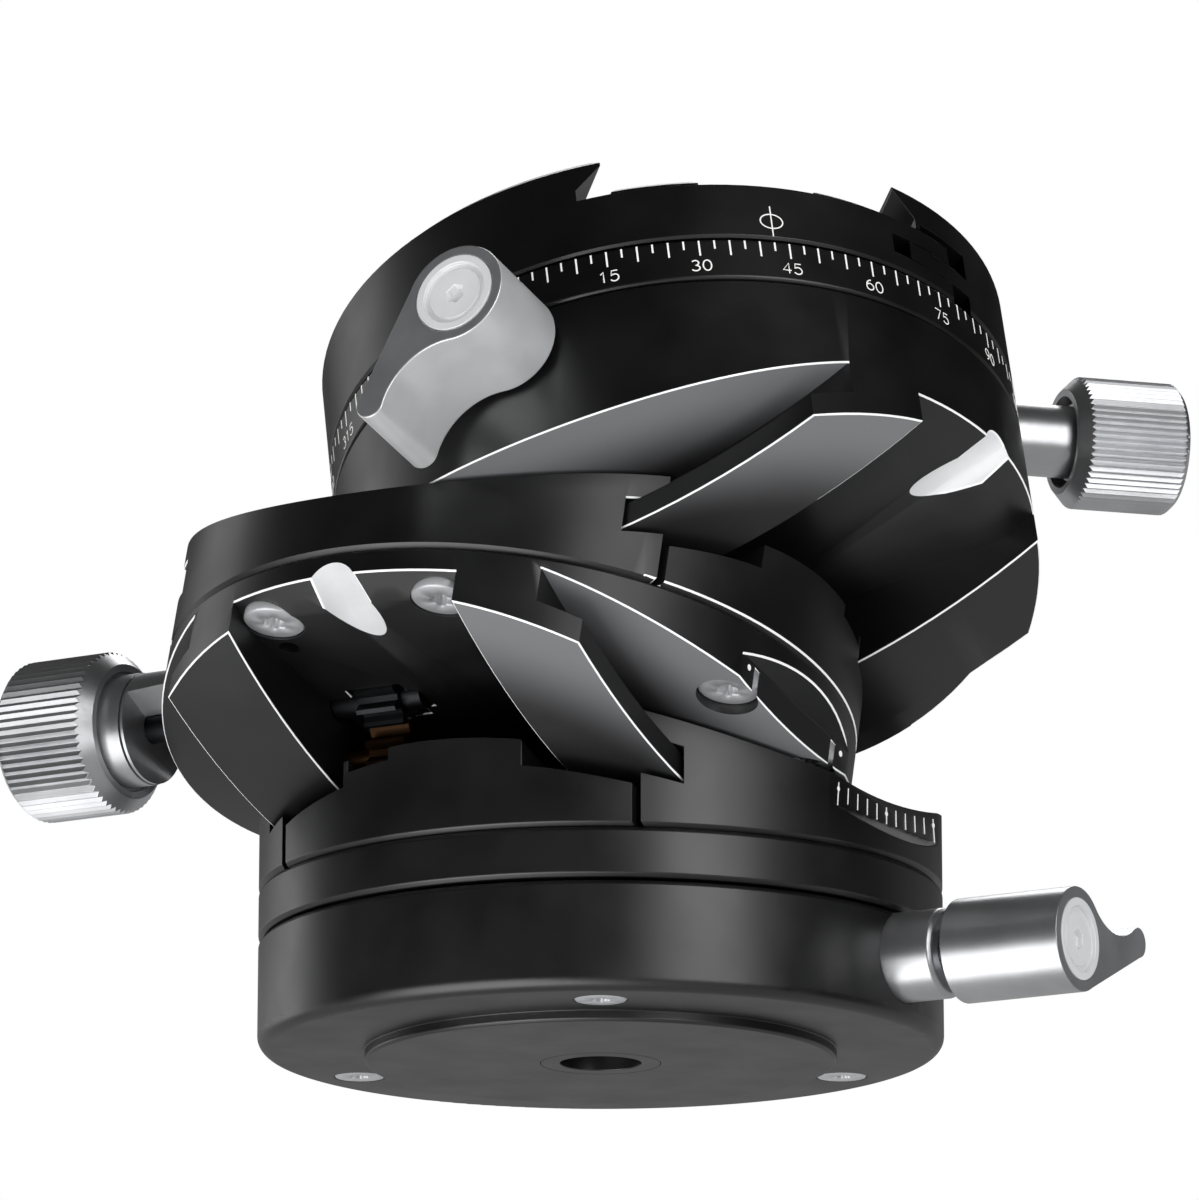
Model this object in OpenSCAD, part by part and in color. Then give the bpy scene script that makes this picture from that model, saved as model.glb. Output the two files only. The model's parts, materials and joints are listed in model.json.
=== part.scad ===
// Geared tripod head: a panning base, two crossed tilt stages that slide on
// arc rails, and a panning dovetail clamp on top. Millimetres, +Z up.
// The origin is the middle of the flat face that stands on the tripod.
// Both stages stand at one end of their travel, as photographed.

/* [Body] */
// Diameter of the base, the stages and the clamp
body_d = 80; // [78:0.5:84]
// Tilt of both stages in the modelled pose, degrees
pose_tilt = 15; // [0:1:15]
// Width of the polished chamfers on the rims
rim_cut = 0.5; // [0.2:0.1:0.8]

/* [Base] */
// Diameter of the raised pad that meets the tripod
pad_d = 55; // [50:1:60]
// Height of the raised pad
pad_h = 1.3; // [0.8:0.1:2]
// Height of the base housing above the pad
base_h = 12.5; // [12:0.5:16]
// Thickness of the floor of the base housing
base_floor = 3.9; // [3.3:0.2:4.5]
// Height of the panning deck on top of the base
deck_h = 5.8; // [5:0.2:8]
// Gap of the panning seam
seam = 0.3; // [0.2:0.05:0.5]
// Bore of the tripod socket, for a 3/8 inch thread
socket_d = 9.5; // [6.3:0.1:10]
// Outer diameter of the steel socket bush
socket_bush_d = 14; // [12.5:0.5:16]
// Radius of the circle of the base screws
base_screw_r = 33; // [31:0.5:34.5]
// Head diameter of the base screws
base_screw_head = 6; // [5:0.5:7]

/* [Stages] */
// Height of the tilt axis above the deck that carries the stage
pivot_h = 95; // [90:1:110]
// Rise from one stage to the next
stage_pitch = 15.7; // [15.2:0.1:17]
// Height of the arc rails above the deck, at the middle
rail_h = 7.3; // [6.9:0.1:7.7]
// Height of the middle track above the deck, at the middle
track_h = 1.9; // [1.5:0.1:2.2]
// Half width of the middle track
track_half = 11.8; // [11.4:0.1:12.2]
// Distance from the middle to the slits beside the rails
slit_x = 23.35; // [22.8:0.1:23.6]
// Width of the slits
slit_w = 0.8; // [0.5:0.1:1.2]
// Distance from the middle to the guide walls of the rails
guide_x = 27.5; // [27:0.1:28.5]
// Running gap between the rails and the carriage
slide_gap = 0.5; // [0.35:0.05:0.7]
// Half width of the open tunnel under a carriage
tunnel_half = 14.6; // [14:0.1:15.5]
// Height of the tunnel roof above the deck
tunnel_h = 11; // [10.5:0.1:11.6]
// Height of the lower edge of the rim at the tunnel mouth
mouth_h = 12.7; // [12:0.1:13.4]
// Distance from the middle to the flat scale facet
facet_x = 37.9; // [37:0.1:39]

/* [Gears] */
// Module of the gear and rack teeth
gear_module = 0.7; // [0.6:0.02:0.72]
// Number of teeth of a pinion
pinion_teeth = 9; // [8:1:9]
// Number of teeth of an idler
idler_teeth = 10; // [10:1:11]
// Width of the gears and the rack
gear_w = 6; // [4:0.5:6.5]
// Distance of the gears from the middle, along the shaft
gear_x = 8; // [7.5:0.25:8.5]
// Height of the knob shaft above the deck
shaft_h = 11.6; // [11.4:0.05:11.7]
// Distance of the knob shaft from the middle, along the slide
shaft_y = 13.4; // [12:0.2:14]
// Diameter of the knob shaft
shaft_d = 3.6; // [3:0.1:3.8]
// Wall of the bronze bush around the shaft
bush_wall = 0.5; // [0.4:0.05:0.6]
// Diameter of the pin that an idler turns on
idler_pin_d = 2; // [1.6:0.1:2.4]

/* [Knobs] */
// Diameter of the gear knobs
knob_d = 19; // [17:0.5:21]
// Length of the gear knobs
knob_len = 13; // [11:0.5:16]
// Diameter of the hub between a gear knob and its stage
hub_d = 13.2; // [11:0.2:14]
// Length of that hub in front of the knob
hub_len = 2.6; // [1.5:0.1:4]
// Diameter of the upper gear knob, small enough to pass over the lower stage
upper_knob_d = 13; // [11:0.5:13.5]
// Length of the upper gear knob
upper_knob_len = 6.6; // [6:0.2:7.2]
// Diameter of the hub of the upper gear knob
upper_hub_d = 7.6; // [7:0.2:8]
// Length of that hub in front of the upper gear knob
upper_hub_len = 2.4; // [2.2:0.1:3]
// Diameter of the clamp knob
clamp_knob_d = 15.7; // [14:0.5:18]
// Length of the clamp knob
clamp_knob_len = 13.6; // [11:0.2:16]
// Number of ridges round a knob
knurl_count = 60; // [36:4:72]
// Depth of the ridges
knurl_depth = 0.4; // [0.2:0.05:0.6]

/* [Levers] */
// Diameter of the hub of a pan lock lever
lever_d = 12; // [11:0.2:13]
// Length of the hub of a pan lock lever
lever_len = 14.8; // [12:0.2:17]
// Length of the hub of the head's lock lever
head_lever_len = 12.4; // [11:0.2:15]
// Reach of a lever arm from its hub to its tip
lever_reach = 17.2; // [15:0.2:20]
// Diameter of the boss that a lever turns in
boss_d = 10.4; // [10:0.2:11.8]
// How far that boss stands out of the body
boss_out = 6; // [4:0.2:7]
// Gap between the boss and the lever, where the stud shows
lever_gap = 1.6; // [0.8:0.1:2.5]
// Gap between the head and its lever, which has no boss
head_lever_gap = 0.6; // [0.4:0.1:1]
// Diameter of the lock stud
stud_d = 6; // [5:0.5:6.5]

/* [Upper end] */
// Height of the upper carriage above its tunnel roof
head_h = 13.4; // [13:0.2:16]
// Height of the degree ring
dial_h = 5.2; // [4.5:0.1:6]
// Height of the clamp floor above the degree ring
clamp_h = 7.3; // [7:0.1:9]
// Height of the jaws above the clamp floor
jaw_h = 5.6; // [5:0.1:6.5]
// Width between the jaw lips, with the jaw where it is photographed
jaw_gap = 34.6; // [33:0.2:36]
// Turn of the clamp on its pan axis, degrees
clamp_turn = 44; // [0:1:90]
// Travel of the moving jaw, both ways together
jaw_travel = 4; // [2:0.5:4.5]

/* [Hidden] */
$fn = 96;
eps = 0.01;
fit = 0.03;
body_r = body_d / 2;
far = 3 * body_d;
base_top = pad_h + base_h;
deck_z = base_top + seam + deck_h;
pivot_z = deck_z + pivot_h;

// radii round the tilt axis; a larger radius lies lower
rail_r = pivot_h - rail_h;
flange_r = rail_r - slide_gap;
track_r = pivot_h - track_h;
lip_h = 2.8;
lip_w = 3.7;
ledge_r = rail_r + lip_h + slide_gap;
bar_r = track_r + 0.7;
rail_floor_r = bar_r + slide_gap + 0.2;
block_floor_r = track_r + 2.7;
bar_x = guide_x - slide_gap;
lip_x = guide_x - lip_w;
neck_x = lip_x - 2 * slide_gap;
under_r = block_floor_r + 15;
inner_r = pivot_h / 2;

// carriage heights above the deck
plate_h = stage_pitch;
flute_r = 3.25;
flute_slope = 16;
flute_start = body_r - 11.5;
ledge_h = 11.7;
rail_ledge_h = 4.6;

// gears: an arc rack on the track, an idler over it, a pinion on the knob shaft
pinion_r = gear_module * pinion_teeth / 2;
idler_r = gear_module * idler_teeth / 2;
rack_r = track_r - 0.7;
shaft_down = pivot_h - shaft_h;
shaft_r = sqrt(pow(shaft_down, 2) + pow(shaft_y, 2));
shaft_turn = atan(shaft_y / shaft_down);
idler_far = rack_r - idler_r;
mesh_len = pinion_r + idler_r;
mesh_cos = (pow(shaft_r, 2) + pow(idler_far, 2) - pow(mesh_len, 2)) / (2 * shaft_r * idler_far);
idler_turn = shaft_turn - acos(min(1, mesh_cos));
idler_down = idler_far * cos(idler_turn);
idler_y = idler_far * sin(idler_turn);
mesh_turn = atan2(idler_y - shaft_y, shaft_down - idler_down);
tooth_angle = 180 * gear_module / rack_r;
addendum = 0.6 * gear_module;
dedendum = 0.95 * gear_module;
flank = tan(20);
tooth_half = 0.19 * PI * gear_module;

// the tunnel mouth opens far enough for the arc of the rack's teeth to pass under it
mouth_w = 3.8;
mouth_gap = 0.3;
tooth_top_r = rack_r - addendum;
roof_reach = sqrt(pow(tooth_top_r, 2) - pow(pivot_h - tunnel_h + mouth_gap, 2));
mouth_in = min(body_r - mouth_w, roof_reach);
mouth_top = max(mouth_h, pivot_h - sqrt(pow(tooth_top_r, 2) - pow(body_r, 2)) + mouth_gap);

tilt_limit = 15;
rack_from = -floor((idler_turn + tilt_limit) / tooth_angle + 1.4);
rack_to = ceil((tilt_limit - idler_turn) / tooth_angle + 1.4);
rack_seat = 1.3;
bush_d = shaft_d + 2 * bush_wall;
run_fit = 0.04;
knob_gap = 0.8;
bush_end = sqrt(pow(body_r, 2) - pow(shaft_y, 2)) - 0.6;

// pan spindles, one under the deck and one under the clamp
spindle_r = 17;
spindle_hole_r = socket_bush_d / 2 + 2.2;
flange_w = 4.6;
flange_h = 0.9;
retainer_h = 4;
retainer_gap = 0.4;
lock_z = pad_h + base_floor + flange_h + 2 * seam + retainer_h / 2;
spindle_z = pad_h + base_floor + seam;
wall_in = body_r - 3;
boss_from = wall_in - 1;
retainer_w = boss_from - retainer_gap - spindle_r;
thread_gap = 0.05;
cap_d = 9.4;
cap_h = 1.2;

// upper end, in the frame of the upper stage
roof_z = deck_z + stage_pitch + tunnel_h;
head_z = roof_z + head_h;
dial_z = head_z + seam;
clamp_z = dial_z + dial_h + seam;
clamp_floor = clamp_z + clamp_h;
jaw_top = clamp_floor + jaw_h;
head_floor = head_z - 2 * seam - flange_h - retainer_h - 1.9;
head_lock_z = head_floor + flange_h + 2 * seam + retainer_h / 2;
jaw_lip = jaw_gap / 2;
jaw_foot = jaw_lip + 2.8;
split_x = jaw_foot + 0.6;
finger_len = 6.4;
finger_h = (clamp_h - 0.4) / 3;
finger_y = 21;
jaw_room = jaw_travel / 2 + 0.4;
land_h = 1.7;
land_in = 6.8;
land_out = jaw_lip - 1.1;
land_cut = 0.7;
lip_cut = 0.8;
clamp_screw_z = clamp_z + clamp_h * 0.62;
clamp_screw_d = 5;
guide_pin_d = 4;
guide_pin_y = 15;
clamp_hub_d = 8.6;
clamp_hub_len = 8.4;

black = "#1c1c1e";
silver = "#c9c9cc";
grey = "#8f9094";
bronze = "#7a4f24";
steel = "#9a9ca0";

// frames

module lower_frame() {
    translate([0, 0, pivot_z]) rotate([-pose_tilt, 0, 0]) translate([0, 0, -pivot_z]) children();
}

module upper_frame() {
    pivot_up = pivot_z + stage_pitch;
    lower_frame() translate([0, 0, pivot_up]) rotate([0, -pose_tilt, 0]) translate([0, 0, -pivot_up])
        children();
}

// the upper stage is the lower one, turned so that it slides across it
module as_upper() {
    translate([0, 0, stage_pitch]) rotate([0, 0, -90]) children();
}

module clamp_frame() {
    upper_frame() rotate([0, 0, clamp_turn]) children();
}

// shared shapes

// a disc with polished chamfers on its two rims
module rim_disc(r, z0, z1, low = rim_cut, high = rim_cut) {
    rotate_extrude()
        polygon([[0, z0], [r - low, z0], [r, z0 + low], [r, z1 - high], [r - high, z1], [0, z1]]);
}

// a solid of revolution round the tilt axis, from [radius, side] points
module tilt_revolve(points) {
    translate([0, 0, pivot_z]) rotate([0, 90, 0]) rotate_extrude($fn = 360) polygon(points);
}

module tube(r_out, r_in, h) {
    difference() {
        cylinder(r = r_out, h = h);
        translate([0, 0, -1]) cylinder(r = r_in, h = h + 2);
    }
}

// cut that leaves a flat facet with a sloped ledge above or below it
module facet_cut(edge_z, up) {
    reach = body_r - facet_x + 2;
    translate([0, far / 2, 0]) rotate([90, 0, 0]) linear_extrude(far)
        polygon([
            [facet_x, edge_z], [facet_x + reach, edge_z + up * reach],
            [facet_x + reach, edge_z - up * far], [facet_x, edge_z - up * far]
        ]);
}

// one screw with a hexagon socket, its head at z = 0 and its shank upward
module screw(head_d, head_len, shank_d, shank_len) {
    difference() {
        union() {
            cylinder(d = head_d, h = head_len);
            cylinder(d = shank_d, h = head_len + shank_len);
        }
        translate([0, 0, -1]) cylinder(d = shank_d * 0.75, h = 1 + head_len * 0.7, $fn = 6);
    }
}

module screw_hole(head_d, head_len, shank_d, shank_len, deep = 2) {
    translate([0, 0, -deep]) cylinder(d = head_d + 2 * thread_gap, h = deep + head_len + fit);
    translate([0, 0, -eps]) cylinder(d = shank_d + 2 * thread_gap, h = head_len + shank_len + 0.3);
}

module ring_of(angles, r) {
    for (a = angles) rotate([0, 0, a]) translate([r, 0, 0]) children();
}

// stages, built for the lower level

module track() {
    side = slit_x - slit_w / 2;
    difference() {
        intersection() {
            rim_disc(body_r, deck_z, deck_z + 20, rim_cut, 0);
            tilt_revolve([
                [under_r, -side], [block_floor_r, -side], [block_floor_r, -track_half],
                [track_r, -track_half], [track_r, track_half], [block_floor_r, track_half],
                [block_floor_r, side], [under_r, side]
            ]);
        }
        tilt_revolve([
            [track_r - 1, -gear_x - gear_w / 2 - fit], [track_r + rack_seat, -gear_x - gear_w / 2 - fit],
            [track_r + rack_seat, -gear_x + gear_w / 2 + fit], [track_r - 1, -gear_x + gear_w / 2 + fit]
        ]);
        deck_bolt_holes(track_bolts);
    }
}

// side 1 is the rail at +X, side -1 the rail at -X
module rail(side, facet) {
    slit = slit_x + slit_w / 2;
    profile = [
        [under_r, slit], [rail_floor_r, slit], [rail_floor_r, guide_x],
        [rail_r + lip_h, guide_x], [rail_r + lip_h, lip_x], [rail_r, lip_x],
        [rail_r, body_r + 1], [under_r, body_r + 1]
    ];
    difference() {
        intersection() {
            rim_disc(body_r, deck_z, deck_z + 20, rim_cut, 0);
            tilt_revolve([for (p = profile) [p[0], side * p[1]]]);
        }
        if (facet) facet_cut(deck_z + rail_ledge_h, -1);
        deck_bolt_holes(rail_bolts);
    }
}

// teeth point to the tilt axis; each is a flat-sided wedge
module rack() {
    half = gear_w / 2;
    low = track_r + rack_seat - fit;
    root = rack_r + dedendum;
    span_from = (rack_from - 0.5) * tooth_angle;
    span_to = (rack_to + 0.5) * tooth_angle;
    tip_w = tooth_half - addendum * flank;
    root_w = tooth_half + (dedendum + 0.2) * flank;
    translate([-gear_x - half, 0, pivot_z]) rotate([0, 90, 0]) rotate([0, 0, span_from]) union() {
        rotate_extrude(angle = span_to - span_from, $fn = 360)
            polygon([[root, 0], [low, 0], [low, gear_w], [root, gear_w]]);
        for (i = [rack_from:rack_to])
            rotate([0, 0, i * tooth_angle - span_from]) linear_extrude(gear_w)
                polygon([
                    [root + 0.2, -root_w], [rack_r - addendum, -tip_w],
                    [rack_r - addendum, tip_w], [root + 0.2, root_w]
                ]);
    }
}

// plate_z is the top of the carriage above the deck
module carriage(plate_z, facet) {
    half = [
        [inner_r, body_r + 1], [flange_r, body_r + 1], [flange_r, neck_x], [ledge_r, neck_x],
        [ledge_r, bar_x], [bar_r, bar_x], [bar_r, 0]
    ];
    outline = concat(half, [for (i = [len(half) - 2:-1:0]) [half[i][0], -half[i][1]]]);
    difference() {
        intersection() {
            rim_disc(body_r, deck_z - 5, deck_z + plate_z, 0, rim_cut);
            tilt_revolve(outline);
        }
        tunnel();
        flute();
        if (facet) facet_cut(deck_z + ledge_h, 1);
        shaft_way();
    }
}

// the open tunnel under a carriage, its mouth chamfered by a cone
module tunnel() {
    roof = deck_z + tunnel_h;
    translate([-tunnel_half, -far / 2, deck_z - 20]) cube([2 * tunnel_half, far, tunnel_h + 20]);
    intersection() {
        translate([-tunnel_half, -far / 2, roof - 1]) cube([2 * tunnel_half, far, 20]);
        rotate_extrude()
            polygon([
                [mouth_in, roof], [body_r, deck_z + mouth_top], [body_r + 2, deck_z + mouth_top],
                [body_r + 2, roof - 1], [mouth_in, roof - 1]
            ]);
    }
}

// bare half-round flutes that run out of the tunnel roof at both open ends
module flute() {
    for (turn = [0, 180])
        rotate([0, 0, turn]) translate([0, -flute_start, deck_z + tunnel_h]) rotate([90 - flute_slope, 0, 0])
            translate([0, -flute_r, -flute_r]) cylinder(r = flute_r, h = body_r);
}

// bores for the bush, the shaft and the idler pin, and the pocket of the pinion
module shaft_way() {
    pocket_r = pinion_r + addendum + 0.25;
    shaft_axis() {
        translate([0, 0, -bush_end - 10]) cylinder(d = bush_d + 2 * fit, h = bush_end + 10 - tunnel_half);
        translate([0, 0, -gear_x - gear_w / 2 - 0.6]) cylinder(r = pocket_r, h = gear_w + 1.2);
        translate([0, 0, -tunnel_half - 1])
            cylinder(d = shaft_d + 0.8, h = tunnel_half - gear_x + gear_w / 2 + 3);
    }
    idler_axis() translate([0, 0, -idler_pin_from]) cylinder(d = idler_pin_d + 2 * fit, h = idler_pin_from);
}

// z of the children runs along +X of the stage, from the middle
module shaft_axis() {
    translate([0, -shaft_y, deck_z + shaft_h]) rotate([0, 90, 0]) children();
}

module idler_axis() {
    translate([0, -idler_y, pivot_z - idler_down]) rotate([0, 90, 0]) children();
}

idler_pin_from = tunnel_half + 7;

module idler_pin() {
    idler_axis() translate([0, 0, -idler_pin_from + 0.05])
        cylinder(d = idler_pin_d, h = idler_pin_from - gear_x + gear_w / 2);
}

module bush() {
    shaft_axis() translate([0, 0, -bush_end])
        tube(bush_d / 2, shaft_d / 2 + run_fit, bush_end - tunnel_half - 0.3);
}

function frac(u) = u - floor(u);

// a gap of the idler faces the rack tooth that it meets when the stage is tilted
// by pose, and a gap of the pinion faces the idler tooth that it meets
function idler_phase(pose) =
    (0.5 - frac((pose - idler_turn) / tooth_angle)) * 360 / idler_teeth - idler_turn;
function pinion_phase(pose) =
    mesh_turn + 180
    + (frac((mesh_turn - idler_phase(pose)) * idler_teeth / 360) + 0.5) * 360 / pinion_teeth;

// flat-sided teeth, drawn as one closed outline
module gear(teeth, pitch_r, phase) {
    root = pitch_r - dedendum;
    tip = pitch_r + addendum;
    tip_w = tooth_half - addendum * flank;
    root_w = tooth_half + dedendum * flank * 0.5;
    tooth = [
        [root, -root_w], [pitch_r, -tooth_half], [tip, -tip_w],
        [tip, tip_w], [pitch_r, tooth_half], [root, root_w]
    ];
    linear_extrude(gear_w - 0.8)
        polygon([
            for (i = [0:teeth - 1])
                let (a = i * 360 / teeth + phase)
                for (p = tooth)
                    [p[0] * cos(a) - p[1] * sin(a), p[0] * sin(a) + p[1] * cos(a)]
        ]);
}

// shaft and pinion in one piece, with a tail that the knob is fixed on
module shaft(pose, len, hub_l) {
    tail = body_r + knob_gap + hub_l + len * 0.7;
    shaft_axis() {
        translate([0, 0, -tail]) cylinder(d = shaft_d, h = tail - gear_x + gear_w / 2 + 2);
        translate([0, 0, -gear_x - gear_w / 2 + 0.4]) gear(pinion_teeth, pinion_r, pinion_phase(pose));
    }
}

module idler(pose) {
    idler_axis() translate([0, 0, -gear_x - gear_w / 2 + 0.4]) difference() {
        gear(idler_teeth, idler_r, idler_phase(pose));
        translate([0, 0, -1]) cylinder(d = idler_pin_d + 2 * run_fit, h = gear_w + 2);
    }
}

// a knurled knob: the hub starts at z = 0 and the knob's face is at the far end
module knurled(d, len, hub, hub_l, bore) {
    r = d / 2;
    step = 180 / knurl_count;
    cut = 0.8;
    sink = r - 2.4 - hub / 2;
    difference() {
        union() {
            translate([0, 0, hub_l]) difference() {
                intersection() {
                    linear_extrude(len)
                        polygon([for (i = [0:2 * knurl_count - 1])
                            let (q = i % 2 == 0 ? r : r - knurl_depth)
                            [q * cos(i * step), q * sin(i * step)]]);
                    rotate_extrude()
                        polygon([
                            [0, 0], [r - 2 * cut, 0], [r + 0.05, 2 * cut + 0.05],
                            [r + 0.05, len - cut - 0.05], [r - cut, len], [0, len]
                        ]);
                }
                // cone sunk into the inner face, round the hub
                translate([0, 0, -eps]) cylinder(r1 = r - 2.4, r2 = hub / 2 + 0.3, h = sink);
                // shallow dish in the end face
                translate([0, 0, len - 0.5]) cylinder(r = r - 2.4, h = 1);
            }
            cylinder(d = hub, h = hub_l + sink + 1);
        }
        translate([0, 0, -1]) cylinder(d = bore + 2 * fit, h = hub_l + len * 0.7 + 1 + fit);
        translate([0, 0, hub_l / 2]) rotate([0, 90, set_screw_turn])
            cylinder(d = set_screw_d + 2 * thread_gap, h = r);
    }
}

set_screw_d = 2;
set_screw_turn = 180;

module knob(d, len, hub, hub_l) {
    shaft_axis() mirror([0, 0, 1]) translate([0, 0, body_r + knob_gap])
        knurled(d, len, hub, hub_l, shaft_d);
}

module set_screw(hub, hub_l) {
    long = hub / 2 - shaft_d / 2 - 0.6;
    shaft_axis() mirror([0, 0, 1]) translate([0, 0, body_r + knob_gap + hub_l / 2])
        rotate([0, 90, set_screw_turn]) translate([0, 0, shaft_d / 2 + 0.1])
            difference() {
                cylinder(d = set_screw_d, h = long);
                translate([0, 0, long - 1]) cylinder(d = 1, h = 2, $fn = 6);
            }
}

// bolts that hold a track and its rails to the deck below, [x, y] pairs

track_bolt_y = body_r - 10;
rail_bolt_x = body_r - 8;
rail_bolt_y = 12;
track_bolts = [[0, -track_bolt_y], [0, track_bolt_y]];
rail_bolts = [for (x = [rail_bolt_x, -rail_bolt_x]) for (y = [rail_bolt_y, -rail_bolt_y]) [x, y]];
deck_bolt_d = 3;
deck_bolt_in = 4;

module deck_bolt_holes(places) {
    for (p = places)
        translate([p[0], p[1], deck_z - 1]) cylinder(d = deck_bolt_d + 2 * thread_gap, h = deck_bolt_in + 1.3);
}

// a pan spindle: a hollow shaft with a flange at its foot

module spindle(top, foot) {
    translate([0, 0, foot]) tube(spindle_r, spindle_hole_r, top - foot);
    translate([0, 0, foot]) tube(spindle_r + flange_w, spindle_hole_r, flange_h);
}

// a ring over the flange, with a radial bore for the brake shoe along the lever axis
module retainer(foot, turn) {
    z0 = foot + flange_h + seam;
    difference() {
        translate([0, 0, z0]) tube(spindle_r + retainer_w, spindle_r + run_fit, retainer_h);
        rotate([0, 0, turn]) translate([0, 0, z0 + retainer_h / 2]) rotate([0, 90, 0])
            cylinder(d = stud_tip_d + 0.4, h = far);
        ring_of(retainer_screws, base_screw_r) translate([0, 0, z0 - 1])
            cylinder(d = base_bolt_d + 2 * thread_gap, h = retainer_h + 0.5);
    }
}

retainer_screws = [-60, 60, 180];
base_bolt_d = 3;
base_bolt_in = 3;
base_head_h = 1.6;
head_screw_len = 6;
head_screw_top = head_floor + 2 * seam + flange_h + retainer_h - 1.4;

// pan lock on an axis along +X: boss, stud, lever, cap and shoe; out is the
// length of the boss outside the body and len the length of the lever hub

stud_tip_d = 2.8;
stud_step = spindle_r + retainer_w + 0.4;
shoe_len = 5.5;
shoe_from = spindle_r + run_fit + fit;
stud_from = shoe_from + shoe_len + 0.05;

function lever_from(out) = body_r + out + (out > 1 ? lever_gap : 0);

module along_x(x) {
    translate([x, 0, 0]) rotate([0, 90, 0]) children();
}

module lock_boss(out) {
    len = body_r + out - boss_from;
    along_x(boss_from) rotate_extrude()
        polygon([
            [stud_d / 2 + thread_gap, 0], [boss_d / 2, 0], [boss_d / 2, len - 0.5],
            [boss_d / 2 - 0.5, len], [stud_d / 2 + thread_gap, len]
        ]);
}

module lock_stud(out, len) {
    along_x(stud_from) cylinder(d = stud_tip_d, h = stud_step - stud_from + 1);
    along_x(stud_step) cylinder(d = stud_d, h = lever_from(out) + len - cap_h - fit - stud_step);
}

module brake_shoe() {
    along_x(shoe_from) cylinder(d = stud_tip_d, h = shoe_len);
}

// outline of a lever: hub, straight back, hollow belly and round tip
module lever_outline() {
    r = lever_d / 2;
    tip_r = lever_tip_r;
    hollow_r = lever_hollow_r;
    in = 0.04;
    tip_x = lever_reach - tip_r;
    // the hollow touches both the hub and the tip
    a = r + hollow_r;
    b = tip_r + hollow_r;
    hx = (a * a - b * b + tip_x * tip_x) / (2 * tip_x);
    hy = sqrt(a * a - hx * hx);
    lean = asin((r - tip_r) / tip_x);
    back = r - in;
    end = tip_r - in;
    union() {
        circle(r = r);
        translate([tip_x, 0]) circle(r = tip_r);
        difference() {
            polygon([
                [0, 0], [back * sin(lean), -back * cos(lean)],
                [tip_x + end * sin(lean), -end * cos(lean)], [tip_x, 0],
                [tip_x + end * (hx - tip_x) / b, end * hy / b], [back * hx / a, back * hy / a]
            ]);
            translate([hx, hy]) circle(r = hollow_r);
        }
    }
}

module lock_lever(out, len, turn) {
    along_x(lever_from(out)) difference() {
        rotate([0, 0, turn]) linear_extrude(len) lever_outline();
        translate([0, 0, -1]) cylinder(d = stud_d + 2 * fit, h = len + 2);
        translate([0, 0, len - cap_h]) cylinder(d = cap_d + 2 * fit, h = 2 * cap_h);
    }
}

// bright ring and screw head sunk into the end of a lever hub
module lever_cap(out, len) {
    along_x(lever_from(out) + len - cap_h) difference() {
        cylinder(d = cap_d, h = cap_h + 0.1);
        translate([0, 0, 0.8]) tube(cap_d / 2 - 0.9, cap_d / 2 - 1.6, 2);
        translate([0, 0, cap_h - 0.2]) cylinder(d = cap_d - 3, h = 1);
        translate([0, 0, 0.3]) cylinder(d = 2.4, h = 2, $fn = 6);
    }
}

// holes that a pan lock needs in the wall of a body
module lock_ways(bossed) {
    if (bossed) along_x(boss_from) cylinder(d = boss_d + 2 * fit, h = 12);
    along_x(spindle_r) cylinder(d = stud_tip_d + 0.4, h = wall_in);
    along_x(stud_step - 1) cylinder(d = stud_d + (bossed ? 0.6 : 2 * thread_gap), h = 12);
}

// base

module base_housing() {
    round_r = 1.6;
    color(black) difference() {
        rotate_extrude() union() {
            polygon([
                [0, 0], [pad_d / 2 - 0.3, 0], [pad_d / 2, 0.3], [pad_d / 2, pad_h],
                [body_r - round_r, pad_h], [body_r, pad_h + round_r], [body_r, base_top - rim_cut],
                [body_r - rim_cut, base_top], [0, base_top]
            ]);
            translate([body_r - round_r, pad_h + round_r]) intersection() {
                circle(r = round_r);
                translate([0, -2 * round_r]) square(2 * round_r);
            }
        }
        // the cup for the spindle and its retainer, round the socket boss
        translate([0, 0, pad_h + base_floor])
            tube(spindle_r + retainer_w + 0.1, socket_bush_d / 2 + 1.6, base_h);
        translate([0, 0, -1]) cylinder(d = socket_bush_d + 2 * fit, h = far);
        translate([0, 0, lock_z]) lock_ways(true);
        translate([0, 0, base_top - 1.6]) cylinder(r = socket_bush_d / 2 + 2, h = 3);
        ring_of(retainer_screws, base_screw_r) translate([0, 0, pad_h])
            screw_hole(base_screw_head, base_head_h, base_bolt_d, base_floor + base_bolt_in + 1);
    }
}

module socket_bush() {
    color(steel) tube(socket_bush_d / 2, socket_d / 2, base_top - 2);
}

module base_screws() {
    color(steel) ring_of(retainer_screws, base_screw_r) translate([0, 0, pad_h])
        screw(base_screw_head, base_head_h, base_bolt_d, base_floor + base_bolt_in);
}

module pan_retainer() {
    color(steel) retainer(spindle_z, 0);
}

module base_lock_boss() {
    color(silver) difference() {
        translate([0, 0, lock_z]) lock_boss(boss_out);
        // a larger boss is cut flush under the deck
        translate([0, 0, base_top + 0.6 * seam]) cylinder(r = body_r + seam, h = far);
    }
}

module base_lock_stud() {
    color(steel) translate([0, 0, lock_z]) lock_stud(boss_out, lever_len);
}

module base_lock_lever() {
    color(grey) translate([0, 0, lock_z]) lock_lever(boss_out, lever_len, base_lever_turn);
}

module base_lever_cap() {
    color(silver) translate([0, 0, lock_z]) lever_cap(boss_out, lever_len);
}

module base_brake_shoe() {
    color(bronze) translate([0, 0, lock_z]) brake_shoe();
}

// the base lever points back along +Y and a little up, the head lever down and to -X
lever_tip_r = 1.75;
lever_hollow_r = 8;
base_lever_turn = 98;
head_lever_turn = -50;

// panning deck

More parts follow.
